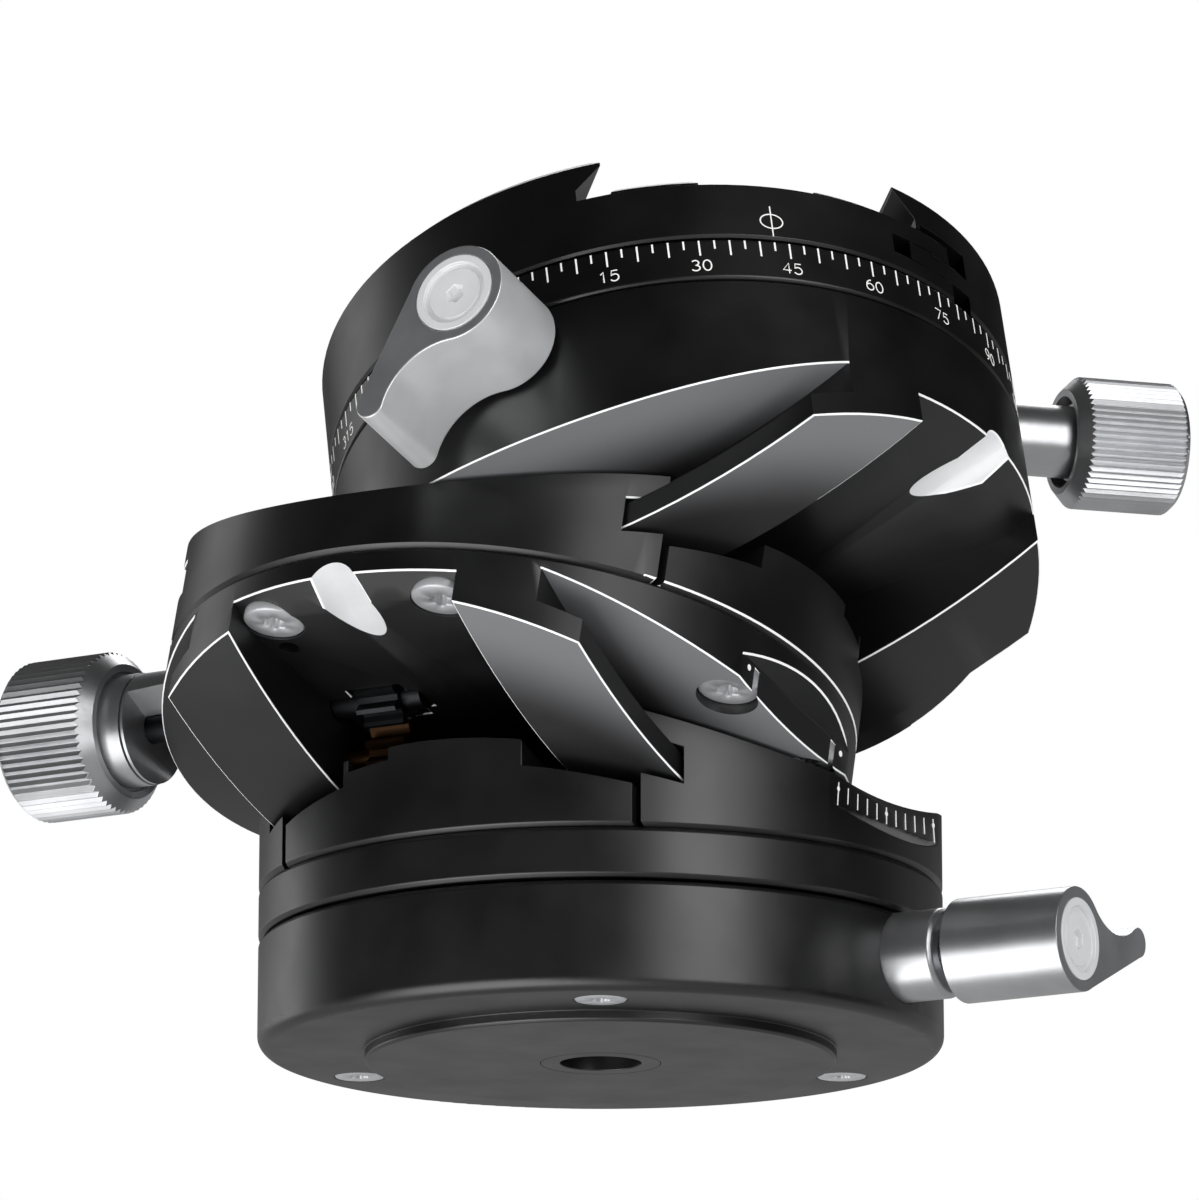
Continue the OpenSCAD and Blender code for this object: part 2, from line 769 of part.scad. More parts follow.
module pan_deck() {
    color(black) difference() {
        rim_disc(body_r, base_top + seam, deck_z);
        translate([0, 0, base_top]) cylinder(r = spindle_hole_r, h = far);
        ring_of(spindle_bolts, spindle_bolt_r) translate([0, 0, base_top])
            cylinder(d = deck_bolt_d + 2 * thread_gap, h = far);
        ring_of(spindle_bolts, spindle_bolt_r) translate([0, 0, deck_z - deck_head_h])
            cylinder(d = deck_head_d + 0.1, h = far);
        deck_from_below() screw_hole(deck_head_d, deck_head_h, deck_bolt_d, deck_h + deck_head_h);
    }
}

spindle_bolts = [45, 135, 225, 315];
spindle_bolt_r = (spindle_r + spindle_hole_r) / 2;
deck_head_d = 5;
deck_head_h = 2;

module deck_from_below() {
    for (p = concat(track_bolts, rail_bolts)) translate([p[0], p[1], base_top + seam + 0.2]) children();
}

module pan_spindle() {
    color(steel) difference() {
        spindle(base_top + seam, spindle_z);
        ring_of(spindle_bolts, spindle_bolt_r) translate([0, 0, base_top - 5])
            cylinder(d = deck_bolt_d - 0.4, h = far);
    }
}

// bolts of the deck: four into the spindle, six up into the track and rails
module deck_screws() {
    color(steel) {
        ring_of(spindle_bolts, spindle_bolt_r) translate([0, 0, deck_z - fit]) mirror([0, 0, 1])
            screw(deck_head_d, deck_head_h - 2 * fit, deck_bolt_d - 0.5, deck_h + deck_head_h);
        deck_from_below()
            screw(deck_head_d, deck_head_h, deck_bolt_d, deck_h - deck_head_h - 0.2 + deck_bolt_in - 0.2);
    }
}

// lower stage

module lower_track() {
    color(black) track();
}

module lower_rail_front() {
    color(black) rail(1, true);
}

module lower_rail_back() {
    color(black) rail(-1, false);
}

module lower_rack() {
    color(bronze) rack();
}

// places of the screws that hold the upper track to the lower carriage
carriage_screw_in = 4.4;
carriage_screw_r = body_r - carriage_screw_in;
carriage_screw_turns = [-72, -108, 72, 108, -15, 15, 165];
carriage_head_d = 7;
carriage_head_h = 2;
carriage_bolt_d = 2.9;
carriage_bolt_in = 3.4;

module carriage_screw_places() {
    for (a = carriage_screw_turns) {
        y = carriage_screw_r * sin(a);
        arc_z = pivot_h - sqrt(flange_r * flange_r - y * y);
        under = abs(y) > 25 ? tunnel_h + 0.2 : arc_z + 0.9;
        translate([carriage_screw_r * cos(a), y, deck_z + under]) children();
    }
}

// holes for the ends of those screws in the pieces above the carriage
module carriage_screw_ways() {
    carriage_screw_places()
        cylinder(d = carriage_bolt_d + 2 * thread_gap, h = carriage_head_h + carriage_bolt_in + 0.3);
}

module lower_carriage() {
    color(black) lower_frame() difference() {
        carriage(plate_h, true);
        carriage_screw_places() screw_hole(carriage_head_d, carriage_head_h, 3, 9, 5);
        translate([-12.2, -28.5, deck_z]) cylinder(d = 2.4, h = tunnel_h + 2.5);
    }
}

module lower_bush() {
    color(bronze) lower_frame() bush();
}

module lower_shaft() {
    color(steel) lower_frame() shaft(-pose_tilt, knob_len, hub_len);
}

module lower_idler() {
    color(bronze) lower_frame() idler(-pose_tilt);
}

module lower_idler_pin() {
    color(steel) lower_frame() idler_pin();
}

module lower_knob() {
    color(silver) lower_frame() knob(knob_d, knob_len, hub_d, hub_len);
}

module lower_set_screw() {
    color(steel) lower_frame() set_screw(hub_d, hub_len);
}

module carriage_screws() {
    color(silver) lower_frame() carriage_screw_places()
        screw(carriage_head_d, carriage_head_h, carriage_bolt_d, carriage_bolt_in);
}

// upper stage

module upper_track() {
    color(black) lower_frame() difference() {
        as_upper() track();
        carriage_screw_ways();
    }
}

module upper_rail_front() {
    color(black) lower_frame() difference() {
        as_upper() rail(1, false);
        carriage_screw_ways();
    }
}

module upper_rail_back() {
    color(black) lower_frame() difference() {
        as_upper() rail(-1, false);
        carriage_screw_ways();
    }
}

module upper_rack() {
    color(bronze) lower_frame() as_upper() rack();
}

module head_lock_place() {
    translate([0, 0, head_lock_z]) rotate([0, 0, -90]) children();
}

module upper_carriage() {
    color(black) upper_frame() difference() {
        as_upper() carriage(tunnel_h + head_h, false);
        translate([0, 0, head_floor]) cylinder(r = spindle_r + retainer_w + 0.1, h = far);
        head_lock_place() lock_ways(false);
        ring_of(retainer_screws, base_screw_r) translate([0, 0, head_floor - 4])
            cylinder(d = base_bolt_d + 2 * thread_gap, h = head_screw_top - head_floor + 4 + fit);
    }
}

module upper_bush() {
    color(bronze) upper_frame() as_upper() bush();
}

module upper_shaft() {
    color(steel) upper_frame() as_upper() shaft(pose_tilt, upper_knob_len, upper_hub_len);
}

module upper_idler() {
    color(bronze) upper_frame() as_upper() idler(pose_tilt);
}

module upper_idler_pin() {
    color(steel) upper_frame() as_upper() idler_pin();
}

module upper_knob() {
    color(silver) upper_frame() as_upper() knob(upper_knob_d, upper_knob_len, upper_hub_d, upper_hub_len);
}

module upper_set_screw() {
    color(steel) upper_frame() as_upper() set_screw(upper_hub_d, upper_hub_len);
}

// pan of the clamp

module head_retainer() {
    color(steel) upper_frame() retainer(head_floor + seam, -90);
}

module head_spindle() {
    color(steel) clamp_frame() difference() {
        spindle(clamp_z, head_floor + seam);
        ring_of(spindle_bolts, spindle_bolt_r) translate([0, 0, clamp_z - 5])
            cylinder(d = deck_bolt_d - 0.4, h = far);
    }
}

module head_screws() {
    color(steel) upper_frame() ring_of(retainer_screws, base_screw_r)
        translate([0, 0, head_screw_top]) mirror([0, 0, 1])
            cylinder(d = base_bolt_d, h = head_screw_len);
}

module head_lock_stud() {
    color(steel) upper_frame() head_lock_place() lock_stud(head_lever_gap, head_lever_len);
}

module head_lock_lever() {
    color(grey) upper_frame() head_lock_place() lock_lever(head_lever_gap, head_lever_len, head_lever_turn);
}

module head_lever_cap() {
    color(silver) upper_frame() head_lock_place() lever_cap(head_lever_gap, head_lever_len);
}

module head_brake_shoe() {
    color(bronze) upper_frame() head_lock_place() brake_shoe();
}

module degree_ring() {
    color(black) upper_frame() difference() {
        rim_disc(body_r, dial_z - seam, dial_z + dial_h, 0.3, 0.3);
        translate([0, 0, head_z]) cylinder(r = spindle_r + 0.4, h = far);
    }
}

// clamp: in its own frame the jaws run along Y and the screw along +X

// flank of a dovetail jaw in the XZ plane, open below its lip
module jaw_flank(side) {
    translate([0, far / 2, 0]) rotate([90, 0, 0]) linear_extrude(far)
        polygon([
            [0, clamp_floor], [side * jaw_foot, clamp_floor], [side * jaw_foot, clamp_floor + 1.4],
            [side * jaw_lip, jaw_top - 1.4], [side * jaw_lip, jaw_top - lip_cut],
            [side * (jaw_lip + lip_cut), jaw_top], [side * (jaw_lip + lip_cut), jaw_top + 1], [0, jaw_top + 1]
        ]);
}

module finger(level, from, to, room) {
    z0 = clamp_z + level * (finger_h + 0.2) + (level > 0 ? 0 : -1);
    high = finger_h + (level == 1 ? 0.2 * room : 1) + (room > 0 ? 0.2 : 0);
    for (s = [-1, 1])
        translate([from, s > 0 ? finger_y : -far, z0 - (room > 0 && level > 0 ? 0.2 : 0)])
            cube([to - from, far - finger_y, high]);
}

// two raised lands that the camera plate rests on, with a groove between them
module plate_lands() {
    top = clamp_floor + land_h;
    intersection() {
        rim_disc(body_r - 1, clamp_floor - 0.5, top, 0, land_cut);
        for (side = [-1, 1])
            translate([0, far / 2, 0]) rotate([90, 0, 0]) linear_extrude(far)
                polygon([
                    [side * land_in, clamp_floor - 0.5], [side * land_in, top - land_cut],
                    [side * (land_in + land_cut), top], [side * (land_out - land_cut), top],
                    [side * land_out, top - land_cut], [side * land_out, clamp_floor - 0.5]
                ]);
    }
}

module clamp_block() {
    difference() {
        intersection() {
            rim_disc(body_r, clamp_z, jaw_top, 0.3, 1);
            union() {
                translate([-far, -far, clamp_z - 1]) cube([far + split_x, 2 * far, far]);
                finger(0, split_x - 1, split_x + finger_len - jaw_room, 0);
                finger(2, split_x - 1, split_x + finger_len - jaw_room, 0);
            }
        }
        jaw_flank(-1);
        translate([0, -far, clamp_floor]) cube([far, 2 * far, far]);
        finger(1, split_x - finger_len + 2, split_x + 1, 1);
    }
}

// ways of the clamp screw and of the guide pins
module clamp_ways() {
    translate([-6, 0, clamp_screw_z]) rotate([0, 90, 0])
        cylinder(d = clamp_screw_d + 2 * thread_gap, h = far);
    for (s = [-1, 1])
        translate([split_x - 12, s * guide_pin_y, clamp_screw_z]) rotate([0, 90, 0])
            cylinder(d = guide_pin_d + 2 * fit, h = 20);
}

module clamp_body() {
    color(black) clamp_frame() difference() {
        union() {
            clamp_block();
            plate_lands();
        }
        clamp_ways();
        ring_of(spindle_bolts, spindle_bolt_r) translate([0, 0, clamp_z - 1])
            cylinder(d = deck_bolt_d + 2 * thread_gap, h = far);
        ring_of(spindle_bolts, spindle_bolt_r) translate([0, 0, clamp_floor - deck_head_h - 0.2])
            cylinder(d = deck_head_d + 0.1, h = far);
    }
}

module clamp_bolts() {
    color(steel) clamp_frame() ring_of(spindle_bolts, spindle_bolt_r)
        translate([0, 0, clamp_floor - 0.2]) mirror([0, 0, 1])
            screw(deck_head_d, deck_head_h - 2 * fit, deck_bolt_d - 0.5, clamp_h + deck_head_h);
}

module moving_jaw() {
    gap = jaw_room;
    color(black) clamp_frame() difference() {
        intersection() {
            rim_disc(body_r, clamp_z + 0.3, jaw_top, 0.3, 1);
            union() {
                translate([split_x + gap, -far, clamp_z]) cube([far, 2 * far, far]);
                translate([jaw_lip - 1, -far, clamp_floor + 0.3]) cube([far, 2 * far, far]);
                finger(1, split_x - finger_len + 2 + gap, split_x + gap + 1, 0);
            }
        }
        jaw_flank(1);
        finger(0, split_x, split_x + finger_len + 0.4, 1);
        finger(2, split_x, split_x + finger_len + 0.4, 1);
        translate([split_x - 1, 0, clamp_screw_z]) rotate([0, 90, 0])
            cylinder(d = clamp_screw_d + 2 * run_fit, h = far);
        for (s = [-1, 1])
            translate([split_x, s * guide_pin_y, clamp_screw_z]) rotate([0, 90, 0])
                cylinder(d = guide_pin_d + 2 * run_fit, h = 14);
        translate([jaw_outer - 0.6, 0, clamp_screw_z]) rotate([0, 90, 0])
            cylinder(d = clamp_hub_d + 1, h = far);
    }
}

jaw_outer = body_r;

module guide_pins() {
    color(steel) clamp_frame() for (s = [-1, 1])
        translate([split_x - 11.9, s * guide_pin_y, clamp_screw_z]) rotate([0, 90, 0])
            cylinder(d = guide_pin_d, h = 20);
}

module clamp_screw() {
    color(steel) clamp_frame() translate([2, 0, clamp_screw_z]) rotate([0, 90, 0])
        cylinder(d = clamp_screw_d, h = jaw_outer - 2 + clamp_hub_len + clamp_knob_len * 0.6);
}

module clamp_knob() {
    color(silver) clamp_frame() translate([jaw_outer - 0.5, 0, clamp_screw_z]) rotate([0, 90, 0])
        knurled(clamp_knob_d, clamp_knob_len, clamp_hub_d, clamp_hub_len + 0.5, clamp_screw_d);
}

base_housing();
socket_bush();
base_screws();
pan_retainer();
base_lock_boss();
base_lock_stud();
base_lock_lever();
base_lever_cap();
base_brake_shoe();
pan_deck();
pan_spindle();
deck_screws();
lower_track();
lower_rail_front();
lower_rail_back();
lower_rack();
lower_carriage();
lower_bush();
lower_shaft();
lower_idler();
lower_idler_pin();
lower_knob();
lower_set_screw();
carriage_screws();
upper_track();
upper_rail_front();
upper_rail_back();
upper_rack();
upper_carriage();
upper_bush();
upper_shaft();
upper_idler();
upper_idler_pin();
upper_knob();
upper_set_screw();
head_retainer();
head_spindle();
head_screws();
head_lock_stud();
head_lock_lever();
head_lever_cap();
head_brake_shoe();
degree_ring();
clamp_body();
clamp_bolts();
moving_jaw();
guide_pins();
clamp_screw();
clamp_knob();
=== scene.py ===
import json
import math

import bmesh
import bpy
import numpy as np
from mathutils import Matrix, Vector


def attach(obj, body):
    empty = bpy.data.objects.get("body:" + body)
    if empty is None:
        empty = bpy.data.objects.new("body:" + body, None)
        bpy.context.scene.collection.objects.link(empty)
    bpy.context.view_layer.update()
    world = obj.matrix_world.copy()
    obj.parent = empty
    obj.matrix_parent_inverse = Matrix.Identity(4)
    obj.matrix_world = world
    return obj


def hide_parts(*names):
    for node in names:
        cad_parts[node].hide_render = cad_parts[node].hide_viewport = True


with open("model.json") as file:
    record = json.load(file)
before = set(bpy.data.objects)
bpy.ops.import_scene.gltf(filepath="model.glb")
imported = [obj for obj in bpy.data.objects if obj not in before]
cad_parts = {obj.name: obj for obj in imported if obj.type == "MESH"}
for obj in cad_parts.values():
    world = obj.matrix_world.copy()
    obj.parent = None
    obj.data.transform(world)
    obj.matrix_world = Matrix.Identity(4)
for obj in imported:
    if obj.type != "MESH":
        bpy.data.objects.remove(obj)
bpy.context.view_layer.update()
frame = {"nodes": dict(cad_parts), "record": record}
nodes = frame["nodes"]
bodyOfNode = {n: body for body, names in frame["record"]["behaviour"]["bodies"].items() for n in names}
scene = bpy.context.scene
mm = 0.001  # sizes are written in millimetres, and the scene is in metres
mergeDist = 0.002 * mm  # a CAD node's triangles are loose, so the corners of a copy are merged
print("frame loaded:", len(nodes), "nodes")


# colour and node helpers

def hexLinear(code):
    parts = [int(code[i:i + 2], 16) / 255 for i in (1, 3, 5)]
    return tuple(c / 12.92 if c <= 0.04045 else ((c + 0.055) / 1.055) ** 2.4 for c in parts) + (1.0,)


def addNode(tree, kind, values=None, **settings):
    node = tree.nodes.new(kind)
    for key, value in settings.items():
        setattr(node, key, value)
    for socket, value in (values or {}).items():
        if isinstance(value, bpy.types.NodeSocket):
            tree.links.new(value, node.inputs[socket])
        else:
            node.inputs[socket].default_value = value
    return node


def newMaterial(name):
    material = bpy.data.materials.new(name)
    material.use_nodes = True
    tree = material.node_tree
    tree.nodes.clear()
    shader = addNode(tree, "ShaderNodeBsdfPrincipled")
    addNode(tree, "ShaderNodeOutputMaterial", {"Surface": shader.outputs[0]})
    return material, tree, shader


# object and mesh helpers

def addObject(name, data):
    made = bpy.data.objects.new(name, data)
    scene.collection.objects.link(made)
    return made


def camel(name):
    first, *rest = name.split("_")
    return first + "".join(part.capitalize() for part in rest)


def meshFrom(shape, name):
    mesh = bpy.data.meshes.new(name)
    shape.to_mesh(mesh)
    shape.free()
    return mesh


def plainMesh(source):
    made = source.evaluated_get(bpy.context.evaluated_depsgraph_get())
    return bpy.data.meshes.new_from_object(made)


def bridge(shape, low, high):
    for i in range(len(low)):
        j = (i + 1) % len(low)
        shape.faces.new((low[i], low[j], high[j], high[i]))


def shadeSmooth(shape, angle):
    for face in shape.faces:
        face.smooth = True
    for edge in shape.edges:
        edge.smooth = len(edge.link_faces) == 2 and edge.calc_face_angle(0) < math.radians(angle)


# materials

# most values of a noise texture lie in this span
noiseSpan = {"From Min": 0.3, "From Max": 0.7}

# black hard-anodised aluminium, bead blasted: a satin black skin with an even grit,
# which is drawn coarser than the real one so that it shows
anodised = {"deep": "#060607", "pale": "#0b0b0c", "gritMm": 0.28, "cloudMm": 9.0, "bump": 0.10,
            "bumpMm": 0.02, "roughLow": 0.34, "roughHigh": 0.42, "ior": 1.77, "metal": 0.0}


def anodisedBlack(name, look):
    material, tree, shader = newMaterial(name)
    place = addNode(tree, "ShaderNodeTexCoord").outputs["Object"]
    cloud = addNode(tree, "ShaderNodeTexNoise",
                    {"Vector": place, "Scale": 1 / (look["cloudMm"] * mm), "Detail": 3.0})
    grit = addNode(tree, "ShaderNodeTexNoise",
                   {"Vector": place, "Scale": 1 / (look["gritMm"] * mm), "Detail": 1.0})
    rough = addNode(tree, "ShaderNodeMapRange", {"Value": cloud.outputs[0], **noiseSpan,
                                                 "To Min": look["roughLow"], "To Max": look["roughHigh"]})
    bump = addNode(tree, "ShaderNodeBump", {"Height": grit.outputs[0], "Strength": look["bump"],
                                            "Distance": look["bumpMm"] * mm})
    share = addNode(tree, "ShaderNodeMapRange", {"Value": cloud.outputs[0], **noiseSpan})
    tone = addNode(tree, "ShaderNodeMix", {0: share.outputs[0], 6: hexLinear(look["deep"]),
                                           7: hexLinear(look["pale"])}, data_type="RGBA")
    tree.links.new(tone.outputs[2], shader.inputs["Base Color"])
    tree.links.new(rough.outputs[0], shader.inputs["Roughness"])
    tree.links.new(bump.outputs[0], shader.inputs["Normal"])
    shader.inputs["Metallic"].default_value = look["metal"]
    shader.inputs["IOR"].default_value = look["ior"]  # the clear oxide, not the metal below it
    return material


# bare aluminium, turned or milled: pale metal with a fine tool grain, drawn coarser than the real one
bareAluminium = {"deep": "#c2c3c6", "pale": "#d2d3d5", "grainMm": 0.3, "cloudMm": 6.0, "bump": 0.03,
                 "bumpMm": 0.01, "roughLow": 0.30, "roughHigh": 0.37, "metal": 0.94}


def bareMetal(name, look):
    material, tree, shader = newMaterial(name)
    place = addNode(tree, "ShaderNodeTexCoord").outputs["Object"]
    grain = addNode(tree, "ShaderNodeTexNoise",
                    {"Vector": place, "Scale": 1 / (look["grainMm"] * mm), "Detail": 2.0})
    cloud = addNode(tree, "ShaderNodeTexNoise",
                    {"Vector": place, "Scale": 1 / (look["cloudMm"] * mm), "Detail": 3.0})
    rough = addNode(tree, "ShaderNodeMapRange", {"Value": grain.outputs[0], **noiseSpan,
                                                 "To Min": look["roughLow"], "To Max": look["roughHigh"]})
    bump = addNode(tree, "ShaderNodeBump", {"Height": grain.outputs[0], "Strength": look["bump"],
                                            "Distance": look["bumpMm"] * mm})
    share = addNode(tree, "ShaderNodeMapRange", {"Value": cloud.outputs[0], **noiseSpan})
    tone = addNode(tree, "ShaderNodeMix", {0: share.outputs[0], 6: hexLinear(look["deep"]),
                                           7: hexLinear(look["pale"])}, data_type="RGBA")
    tree.links.new(tone.outputs[2], shader.inputs["Base Color"])
    tree.links.new(rough.outputs[0], shader.inputs["Roughness"])
    tree.links.new(bump.outputs[0], shader.inputs["Normal"])
    shader.inputs["Metallic"].default_value = look["metal"]
    return material


# screw heads: nickel-plated steel with a satin face
screwSteel = dict(bareAluminium, deep="#b4b5b8", pale="#c6c7ca", roughLow=0.38, roughHigh=0.46, metal=0.6)
# studs and the clamp screw: plated steel, a little darker and smoother than the aluminium
platedSteel = dict(bareAluminium, deep="#a9abae", pale="#bfc1c4", roughLow=0.22, roughHigh=0.30, metal=1.0)
# shafts, pins and pinions inside: oiled steel painted dark, a painted shade for the gaps between the gears
oiledSteel = dict(platedSteel, deep="#2c2d2f", pale="#38393b", roughLow=0.40, roughHigh=0.50)
# painted highlight for edges that look down: a near-white skin on their bevels, in place of the light those
# edges catch
edgeHighlight = dict(bareAluminium, deep="#ececed", pale="#f4f4f4", grainMm=0.5,
               roughLow=0.36, roughHigh=0.44, metal=0.15)
# end faces of the levers: grey anodised, matt
greyAnodised = dict(bareAluminium, deep="#77787b", pale="#86878a",
                    roughLow=0.36, roughHigh=0.46, metal=0.6)
# bronze rack and bushes: brown darkened with painted shade, as dark as they look in the shade inside the
# carriages
tinBronze = dict(bareAluminium, deep="#2b1b0d", pale="#3d2813", grainMm=0.4,
                 roughLow=0.38, roughHigh=0.5, metal=0.9)
# bare flutes and lever caps: bead blasted after the black skin was milled off, so the light spreads
blastedMetal = dict(bareAluminium, deep="#dcdddf", pale="#e6e7e8", grainMm=0.2,
                    roughLow=0.42, roughHigh=0.52, metal=0.4)
# lever of the head lock: satin anodised, so it takes light where it mirrors the black ring below
satinAluminium = dict(bareAluminium, deep="#dcdddf", pale="#e8e9ea", grainMm=0.2,
                      roughLow=0.32, roughHigh=0.40, metal=0.62)
# paint in the engraved marks: matt white, a little uneven where it was wiped in
whitePaint = {"deep": "#dcdcda", "pale": "#f2f2f0", "cloudMm": 0.6, "bump": 0.15, "bumpMm": 0.02,
              "rough": 0.55}


def paintFill(name, look):
    material, tree, shader = newMaterial(name)
    place = addNode(tree, "ShaderNodeTexCoord").outputs["Object"]
    cloud = addNode(tree, "ShaderNodeTexNoise", {"Vector": place, "Scale": 1 / (look["cloudMm"] * mm)})
    tone = addNode(tree, "ShaderNodeMix", {0: cloud.outputs[0], 6: hexLinear(look["deep"]),
                                           7: hexLinear(look["pale"])}, data_type="RGBA")
    bump = addNode(tree, "ShaderNodeBump", {"Height": cloud.outputs[0], "Strength": look["bump"],
                                            "Distance": look["bumpMm"] * mm})
    tree.links.new(tone.outputs[2], shader.inputs["Base Color"])
    tree.links.new(bump.outputs[0], shader.inputs["Normal"])
    shader.inputs["Roughness"].default_value = look["rough"]
    return material


black = anodisedBlack("blackAnodisedAluminium", anodised)
silver = bareMetal("turnedAluminium", bareAluminium)
steel = bareMetal("platedSteel", platedSteel)
nickel = bareMetal("nickelPlatedSteel", screwSteel)
shadedOiled = bareMetal("oiledSteel", oiledSteel)
bright = bareMetal("diamondCutEdge", edgeHighlight)
grey = bareMetal("greyAnodisedAluminium", greyAnodised)
# its dark brown is painted shade for the bronze inside the carriages
bronze = bareMetal("tinBronze", tinBronze)
blasted = bareMetal("blastedAluminium", blastedMetal)
satin = bareMetal("satinAnodisedAluminium", satinAluminium)
paint = paintFill("whiteEngravingPaint", whitePaint)
print("materials made:", len(bpy.data.materials))


# frames of the tilted stages: heights in mm, turns in degrees

stages = {"pivot": 114.9, "pitch": 15.7, "tilt": 15.0, "clampTurn": 44.0}


def tiltFrame(height, axis):
    up = Matrix.Translation((0, 0, height * mm))
    return up @ Matrix.Rotation(math.radians(-stages["tilt"]), 4, axis) @ up.inverted()


lowerFrame = tiltFrame(stages["pivot"], "X")
upperFrame = lowerFrame @ tiltFrame(stages["pivot"] + stages["pitch"], "Y")
clampFrame = upperFrame @ Matrix.Rotation(math.radians(stages["clampTurn"]), 4, "Z")
turnAcross = Matrix.Translation((0, 0, stages["pitch"] * mm)) @ Matrix.Rotation(math.radians(-90), 4, "Z")
carriageFrames = {"lower_carriage": lowerFrame, "upper_carriage": upperFrame @ turnAcross}


# dressed copies of the turned and milled pieces: same shape, with rounded edges

# edges that look down get a painted highlight on their bevels and stand out as thin lines; the others are
# only rounded
edges = {"roundMm": 0.14, "bossMm": 0.2, "knobMm": 0.06, "leverMm": 0.3, "capMm": 0.12, "brightMm": 0.15,
         "segments": 2, "angle": 32.0, "flatAngle": 0.05, "downFrom": -0.78, "downTo": -0.22}
# order of the skins on a black piece
skinSlots = {"black": 0, "bright": 1, "blasted": 2, "milled": 3}
sameSkin = -1  # such a bevel takes the skin of the faces beside it


def addBevel(piece, width, limit, slotIndex):
    rounder = piece.modifiers.new("edges", "BEVEL")
    rounder.width = width * mm
    rounder.segments = edges["segments"]
    rounder.limit_method = limit
    rounder.angle_limit = math.radians(edges["angle"])
    rounder.harden_normals = True
    rounder.use_clamp_overlap = slotIndex == sameSkin  # the painted highlight keeps its width by short edges
    rounder.material = slotIndex


def looksDown(edge):
    down = sum((face.normal for face in edge.link_faces), Vector()).normalized().z
    return edge.is_convex and edges["downFrom"] < down < edges["downTo"]


def dress(name, materials, paintFace=None, roundMm=edges["roundMm"], brightFromMm=None):
    mesh = nodes[name].data.copy()
    mesh.materials.clear()
    for material in materials:
        mesh.materials.append(material)
    shape = bmesh.new()
    shape.from_mesh(mesh)
    bmesh.ops.remove_doubles(shape, verts=shape.verts, dist=mergeDist)
    bmesh.ops.dissolve_limit(shape, angle_limit=math.radians(edges["flatAngle"]),
                             verts=shape.verts, edges=shape.edges)
    shadeSmooth(shape, edges["angle"])
    for face in shape.faces:
        face.material_index = paintFace(face) if paintFace else 0
    if brightFromMm is not None:
        weight = shape.edges.layers.float.new("bevel_weight_edge")
        for edge in shape.edges:
            takesHighlight = not edge.smooth and looksDown(edge) and edge.calc_length() > brightFromMm * mm
            edge[weight] = float(takesHighlight)
    shape.to_mesh(mesh)
    shape.free()
    piece = addObject(camel(name), mesh)
    if brightFromMm is not None:
        # edges that look down get a bevel in the skin with the painted highlight
        addBevel(piece, edges["brightMm"], "WEIGHT", skinSlots["bright"])
    addBevel(piece, roundMm, "ANGLE", sameSkin)
    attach(piece, bodyOfNode[name])
    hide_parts(name)


# bare flutes in the tunnel roof lie on the round cutter's path, in the stage's own frame
flute = {"startMm": (0, -28.5, 30.9), "slope": 16.0, "radiusMm": 3.25, "leadMm": 6.5, "tolMm": 0.12}
# undersides of the front bars lie on arcs about the tilt axis; their colour is a painted sheen, standing in
# for light from below: black near the middle, and painted grey toward the rim
underside = {"arcsMm": (87.2, 93.8), "tolMm": 0.15, "facing": 0.99, "inner": "#1c1c1d", "rim": "#68696b",
             "fromMm": 25.0, "toMm": 38.0, "grainMm": 0.3, "roughLow": 0.40, "roughHigh": 0.50}


# painted sheen on the undersides: the base colour runs from near black to grey toward the rim, in place of
# light reflected from below
def milledSkin(name, stage, look):
    material, tree, shader = newMaterial(name)
    place = addNode(tree, "ShaderNodeTexCoord").outputs["Object"]
    spot, turn, _ = stage.inverted().decompose()
    local = addNode(tree, "ShaderNodeMapping",
                    {"Vector": place, "Location": spot, "Rotation": turn.to_euler()})
    flat = addNode(tree, "ShaderNodeVectorMath", {0: local.outputs[0], 1: (1, 1, 0)}, operation="MULTIPLY")
    reach = addNode(tree, "ShaderNodeVectorMath", {0: flat.outputs[0]}, operation="LENGTH")
    share = addNode(tree, "ShaderNodeMapRange",
                    {"Value": reach.outputs["Value"], "From Min": look["fromMm"] * mm,
                     "From Max": look["toMm"] * mm}, interpolation_type="SMOOTHSTEP")
    tone = addNode(tree, "ShaderNodeMix", {0: share.outputs[0], 6: hexLinear(look["inner"]),
                                           7: hexLinear(look["rim"])}, data_type="RGBA")
    grain = addNode(tree, "ShaderNodeTexNoise",
                    {"Vector": place, "Scale": 1 / (look["grainMm"] * mm), "Detail": 2.0})
    rough = addNode(tree, "ShaderNodeMapRange", {"Value": grain.outputs[0], "To Min": look["roughLow"],
                                                 "To Max": look["roughHigh"]})
    tree.links.new(tone.outputs[2], shader.inputs["Base Color"])
    tree.links.new(rough.outputs[0], shader.inputs["Roughness"])
    return material


